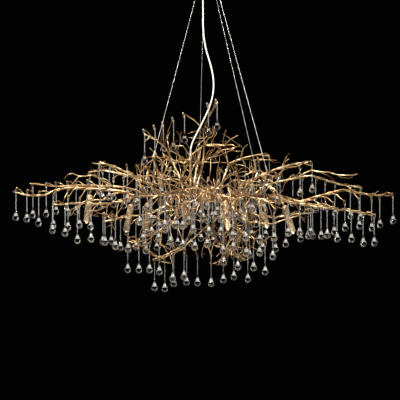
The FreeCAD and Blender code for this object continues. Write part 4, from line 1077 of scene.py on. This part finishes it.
BARE_TWIGS = 600
MIDDLE_WIDTH = 0.26  # how far from the centre the twigs stay dense
SPINE_GAP = 0.035
TOP_START = 170  # mm above the spine; few twigs start higher
total = 0
while total < BARE_TWIGS:
    host = hosts[chance.randrange(len(limbs)) if chance.random() < 0.75 else chance.randrange(len(hosts))]
    index = chance.randrange(len(host) // 6, len(host))
    nearness = math.exp(-(host[index][0] / MIDDLE_WIDTH) ** 2)
    off_spine = np.linalg.norm(host[index] - np.array(spot(*(host[index][:1] * 1000), 0, 0)))
    too_high = host[index][2] > (SPINE_HEIGHT + TOP_START) / 1000
    crowded = off_spine < SPINE_GAP or too_high and chance.random() < 0.8
    if crowded or chance.random() > 0.30 + 0.70 * nearness:
        continue
    length = chance.uniform(0.03, 0.11) + 0.15 * nearness * chance.random() ** 2
    total += bare_twig(host, index, length, chance.uniform(0.0016, 0.0026), chance)
for part, heap in bare.items():
    heap.piece(f"bare_twigs_{part}", finish=bronze)
    print("bare twigs", part, len(heap.faces), "faces")

# %% [markdown]
# ## Hooks
# Each drop hangs on a loop of pale brass wire, 1.6 mm thick. The loop rides over the twig at its top, and its
# round foot is the pin that the glass eye turns on. The wire doesn't close: its two ends pass each other on
# one side, as a jewellery hook's do. One loop is drawn once as a path and set down at every pin.

# %% Hooks
def hook_metal_finish(start):
    worn = start.noise(160, 3)
    return {
        "Base Color": worn.blend((0.62, 0.47, 0.27), (0.90, 0.80, 0.60)),
        "Metallic": 0.9,
        "Roughness": worn * 0.25 + 0.2,
        "Normal": start.bump(start.noise(1800, 2), 0.0002, 0.4),
    }


hook_metal = finish("hook_wire", hook_metal_finish)
WIRE_RADIUS = 0.0008
TWIG_HEIGHT = 0.0187  # of the twig's middle above the pin
LOOP_TOP = 0.0029
LOOP_FOOT = 0.0024
HOOK_PLAY = 0.0003


def hook_path():
    """The loop's path as (along the row, above the pin), from one wire end round to the other."""
    path = [(-LOOP_TOP - 0.0006, 0.0095), (-LOOP_TOP - 0.0002, 0.014)]
    for turn in np.radians(np.linspace(180, 0, 9)):
        path.append((LOOP_TOP * math.cos(turn), TWIG_HEIGHT + LOOP_TOP * math.sin(turn)))
    path += [(LOOP_TOP - 0.0001, 0.013), (LOOP_FOOT + 0.0001, 0.0075)]
    for turn in np.radians(np.linspace(0, -180, 9)):
        path.append((LOOP_FOOT * math.cos(turn), LOOP_FOOT + LOOP_FOOT * math.sin(turn)))
    path += [(-LOOP_FOOT, 0.006), (-LOOP_FOOT + 0.0007, 0.0078)]
    return np.array(path)


loop = hook_path()
heap = Heap()
for row, pin, _ in pins:
    aside = chance.uniform(-HOOK_PLAY, HOOK_PLAY)
    path = pin + loop[:, :1] * row.along + loop[:, 1:] * row.up + row.square * aside
    corners, faces = wire(path, WIRE_RADIUS, sides=7)
    heap.add(corners, faces, tone=chance.uniform(0, 1))
hooks = heap.piece("drop_hook_wires", slot="hook_metal", finish=hook_metal)
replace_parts(hooks, "drop_hooks")
print(len(pins), "hooks,", len(heap.faces), "faces")

# %% [markdown]
# ## Glass drops
# A glassblower draws each drop from a gather: a round bulb at the foot, a shoulder that runs up into a thin
# rod, and an eye at the top. The body is a lathe form, so an outline of (radius, height) pairs is turned
# about the plumb line. The eye is a small ring on the rod's end, square to the row. The thin rod and the eye
# have a finish of their own, a little milkier, because they show as pale lines in the photograph: that milky
# grey is a painted sheen, standing in for the light caught along the clear glass.

# %% Drop form
BULB_RADIUS = 0.014
EYE_RADIUS = 0.0031
EYE_WIRE = 0.0012
EYE_HEIGHT = -0.0010  # of the ring's middle above the pin
ROD_RADIUS = 0.0016
NECK_RADIUS = 0.0018
NECK_LENGTH = 0.012


def lathe(outline, middle, sides):
    """Corners and faces of an outline turned about a plumb line."""
    outline = np.asarray(outline)
    turns = np.linspace(0, 2 * math.pi, sides, endpoint=False)
    rings = np.stack([outline[:, :1] * np.cos(turns)[None], outline[:, :1] * np.sin(turns)[None],
                      np.repeat(outline[:, 1:], sides, axis=1)], axis=2)
    return rings.reshape(-1, 3) + middle, tube_faces(len(outline), sides)


def drop_outline(rod, chance):
    """The outline of one drop from its foot to its eye. Hand work leaves each a little different."""
    girth = BULB_RADIUS * chance.uniform(0.94, 1.0)
    foot = -rod - BULB_HEIGHT
    middle = foot + girth
    outline = []
    for turn in np.radians(np.linspace(-86, 24, 12)):
        outline.append((girth * math.cos(turn), middle + girth * math.sin(turn)))
    shoulder = outline[-1]
    neck = -rod + NECK_LENGTH
    for share in np.linspace(0.12, 1, 9):
        fall = (1 - share) ** 1.75
        reach = NECK_RADIUS + (shoulder[0] - NECK_RADIUS) * fall
        outline.append((reach, shoulder[1] + (neck - shoulder[1]) * share))
    top = EYE_HEIGHT - EYE_RADIUS
    for share in (0.15, 0.5, 0.85):
        outline.append((ROD_RADIUS, neck + (top - neck) * share))
    outline.append((0.0017, top - 0.0012))
    outline.append((0.0013, top + 0.0002))
    return outline


def glass_finish(start):
    pull = start.noise(60, 2)
    return {
        "Base Color": pull.blend((0.97, 0.985, 0.98), (1.0, 1.0, 1.0)),
        "Transmission Weight": 1.0,
        "IOR": 1.5,
        "Roughness": pull * 0.03,
        "Normal": start.bump(pull, 0.0012, 0.35),
    }


def rod_finish(start):
    pull = start.noise(90, 3)
    return {
        # The milky grey is a painted sheen for the light caught along the clear rod and eye.
        "Base Color": pull.blend((0.50, 0.54, 0.56), (0.84, 0.86, 0.87)),
        "Transmission Weight": 0.76,
        "IOR": 1.5,
        "Roughness": pull * 0.12 + 0.04,
        "Normal": start.bump(pull, 0.0008, 0.4),
    }


glass = finish("drop_glass", glass_finish)
rod_glass_painted_sheen = finish("drop_rod_glass", rod_finish)
LATHE_SIDES = 20
BULB_BANDS = 20  # bands of faces between the foot and the rod
ROD_BANDS = 5
OF_GLASS, OF_ROD = 0, 1
LOOKS_OF_DROP = ([OF_GLASS] * LATHE_SIDES * BULB_BANDS + [OF_ROD] * LATHE_SIDES * ROD_BANDS
                 + [OF_GLASS, OF_ROD])
EYE_RINGS, EYE_SIDES = 16, 8


def eye_corners(row, pin):
    """The corners of the ring that turns on the pin."""
    turns = np.linspace(0, 2 * math.pi, EYE_RINGS, endpoint=False)
    spokes = row.square * np.cos(turns)[:, None] + np.array([0, 0, 1]) * np.sin(turns)[:, None]
    ring = pin + np.array([0, 0, EYE_HEIGHT]) + spokes * EYE_RADIUS
    sideways = np.cross(row.square, (0, 0, 1))
    sweep = np.linspace(0, 2 * math.pi, EYE_SIDES, endpoint=False)
    outward = (ring - ring.mean(axis=0)) / EYE_RADIUS
    eye = ring[:, None] + (outward[:, None] * np.cos(sweep)[None, :, None]
                           + sideways * np.sin(sweep)[None, :, None]) * EYE_WIRE
    return eye.reshape(-1, 3)


for row in rows:
    heap = Heap()
    for pin, rod in row.drops:
        heap.add(*lathe(drop_outline(rod, chance), pin, LATHE_SIDES), looks=LOOKS_OF_DROP)
        faces = tube_faces(EYE_RINGS, EYE_SIDES, closed=True)
        heap.add(eye_corners(row, pin), faces, looks=[OF_ROD] * len(faces))
    piece = heap.piece(f"{row.body}_glass", body=row.body, slot="drop_glass", finish=(glass, rod_glass_painted_sheen))
    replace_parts(piece, row.body)
print(len(rows), "rows of glass")

# %% [markdown]
# ## Metalwork that stays as packed
# The canopy, its plate and screws, the grips, the ferrules, the junction box and the blocks already have
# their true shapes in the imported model. They only need their finishes: brushed and lacquered bronze for the
# canopy and the box, bright steel for the small parts, moulded plastic for the blocks, glazed ceramic for the
# sockets.

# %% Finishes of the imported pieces
def canopy_finish(start):
    place = start.node("ShaderNodeTexCoord", output="Object")
    split = place.node("ShaderNodeSeparateXYZ", None, {0: place}, output=2)
    rings = (split * 5200 + start.noise(40, 3) * 5).maths("SINE") * 0.5 + 0.5
    stain = start.noise(28, 4)
    return {
        "Base Color": (stain * 0.7 + rings * 0.3).blend((0.30, 0.17, 0.08), (0.58, 0.38, 0.19)),
        "Metallic": 0.95,
        "Roughness": rings * 0.12 + stain * 0.2 + 0.22,
        "Coat Weight": 0.25,
        "Normal": start.bump(rings, 0.0002, 0.4),
    }


def plain_steel_finish(start):
    grain = start.noise(700, 4)
    return {
        "Base Color": grain.blend((0.44, 0.44, 0.45), (0.66, 0.65, 0.63)),
        "Metallic": 1.0,
        "Roughness": grain * 0.25 + 0.25,
        "Normal": start.bump(grain, 0.0002, 0.4),
    }


def plastic_finish(start):
    grain = start.noise(1300, 2)
    return {
        "Base Color": start.noise(60, 3).blend((0.76, 0.75, 0.70), (0.86, 0.85, 0.81)),
        "Roughness": grain * 0.15 + 0.4,
        "Normal": start.bump(grain, 0.0002, 0.5),
    }


def ceramic_finish(start):
    grain = start.noise(500, 3)
    return {
        "Base Color": start.noise(90, 3).blend((0.80, 0.77, 0.70), (0.92, 0.91, 0.87)),
        "Roughness": grain * 0.2 + 0.15,
        "Coat Weight": 0.7,
        "Normal": start.bump(grain, 0.0002, 0.4),
    }


brushed = finish("brushed_bronze", canopy_finish)
bright = finish("plain_steel", plain_steel_finish)
moulded = finish("pale_plastic", plastic_finish)
glazed = finish("socket_ceramic", ceramic_finish)
KEPT = {
    brushed: ("canopy_cup", "junction_box", "junction_lid", "finial", "riser"),
    bright: ("ceiling_plate", "canopy_screws", "centre_rod", "cable_grips", "cable_ferrules"),
    moulded: ("mains_block", "lamp_wire_block", "cord_grip", "riser_gland"),
    glazed: ("lamp_sockets",),
}
for material, names in KEPT.items():
    for name in names:
        kept = frame["nodes"][name]
        if not kept.material_slots:
            kept.data.materials.append(material)
        for slot in kept.material_slots:
            slot.link = "OBJECT"
            slot.material = material
print(sum(len(names) for names in KEPT.values()), "packed pieces finished")

# %% [markdown]
# ## Light and room
# The photograph is a studio picture on black, and clear glass is only seen by what it mirrors and bends. So
# the world is dark where the camera, the metal and the glass look at it, and gives a weak soft light to all
# else. A small strong lamp in front and another above give the glints. Broad weak ones at the right and
# behind draw the edges.

# %% Light
world = bpy.data.worlds.new("room")
world.use_nodes = True
bpy.context.scene.world = world
tree = world.node_tree
background = tree.nodes["Background"]
background.inputs["Color"].default_value = (0.9, 0.95, 1.0, 1)
ray = tree.nodes.new("ShaderNodeLightPath")
start = Wire(tree)
seen = Wire(tree, ray.outputs["Is Camera Ray"])
for kind in ("Is Glossy Ray", "Is Transmission Ray"):
    seen = start.maths("MAXIMUM", seen, Wire(tree, ray.outputs[kind]))
SOFT_LIGHT = 0.10
BLACK = 0.0008
start.feed(background.inputs["Strength"], (1 - seen) * SOFT_LIGHT + BLACK)


def lamp(name, place, aim, width, height, power, colour=(1, 1, 1)):
    light = bpy.data.lights.new(name, "AREA")
    light.shape = "RECTANGLE"
    light.size, light.size_y = width, height
    light.energy = power
    light.color = colour
    made = bpy.data.objects.new(name, light)
    made.location = place
    made.rotation_euler = (Vector(aim) - Vector(place)).to_track_quat("-Z", "Y").to_euler()
    made.visible_camera = False
    bpy.context.scene.collection.objects.link(made)


HEART = (0, 0, -0.95)
lamp("key", (-1.7, -2.5, 0.9), HEART, 0.5, 0.5, 210, (1.0, 0.94, 0.84))
lamp("fill", (2.4, -2.2, -0.6), HEART, 1.2, 1.8, 9, (0.96, 0.97, 1.0))
lamp("rim_left", (-2.2, 1.9, -0.3), HEART, 1.0, 2.4, 4)
lamp("rim_right", (2.2, 1.9, -0.3), HEART, 1.0, 2.4, 4)
lamp("overhead", (0.3, -0.4, 1.1), HEART, 0.5, 0.5, 75, (1.0, 0.95, 0.86))
print(len(bpy.data.lights), "lights")

# %% [markdown]
# ## The floor
# The floor is one flat disc, plain and pale, so far below the drops that the camera doesn't see it.

# %% Floor
FLOOR = -2.9
FLOOR_RADIUS = 4.0
FLOOR_SIDES = 64
turns = np.linspace(0, 2 * math.pi, FLOOR_SIDES, False)
rim = [(FLOOR_RADIUS * math.cos(turn), FLOOR_RADIUS * math.sin(turn), FLOOR) for turn in turns]
mesh = bpy.data.meshes.new("floor")
mesh.from_pydata(rim, [], [tuple(range(FLOOR_SIDES))])
floor = bpy.data.objects.new("floor", mesh)
bpy.context.scene.collection.objects.link(floor)


def floor_finish(start):
    return {"Base Color": start.noise(3, 2).blend((0.70, 0.69, 0.67), (0.76, 0.75, 0.73)), "Roughness": 0.8}


mesh.materials.append(finish("pale_floor", floor_finish))
bpy.context.scene.view_settings.view_transform = "Standard"
print("floor at", FLOOR, "m")
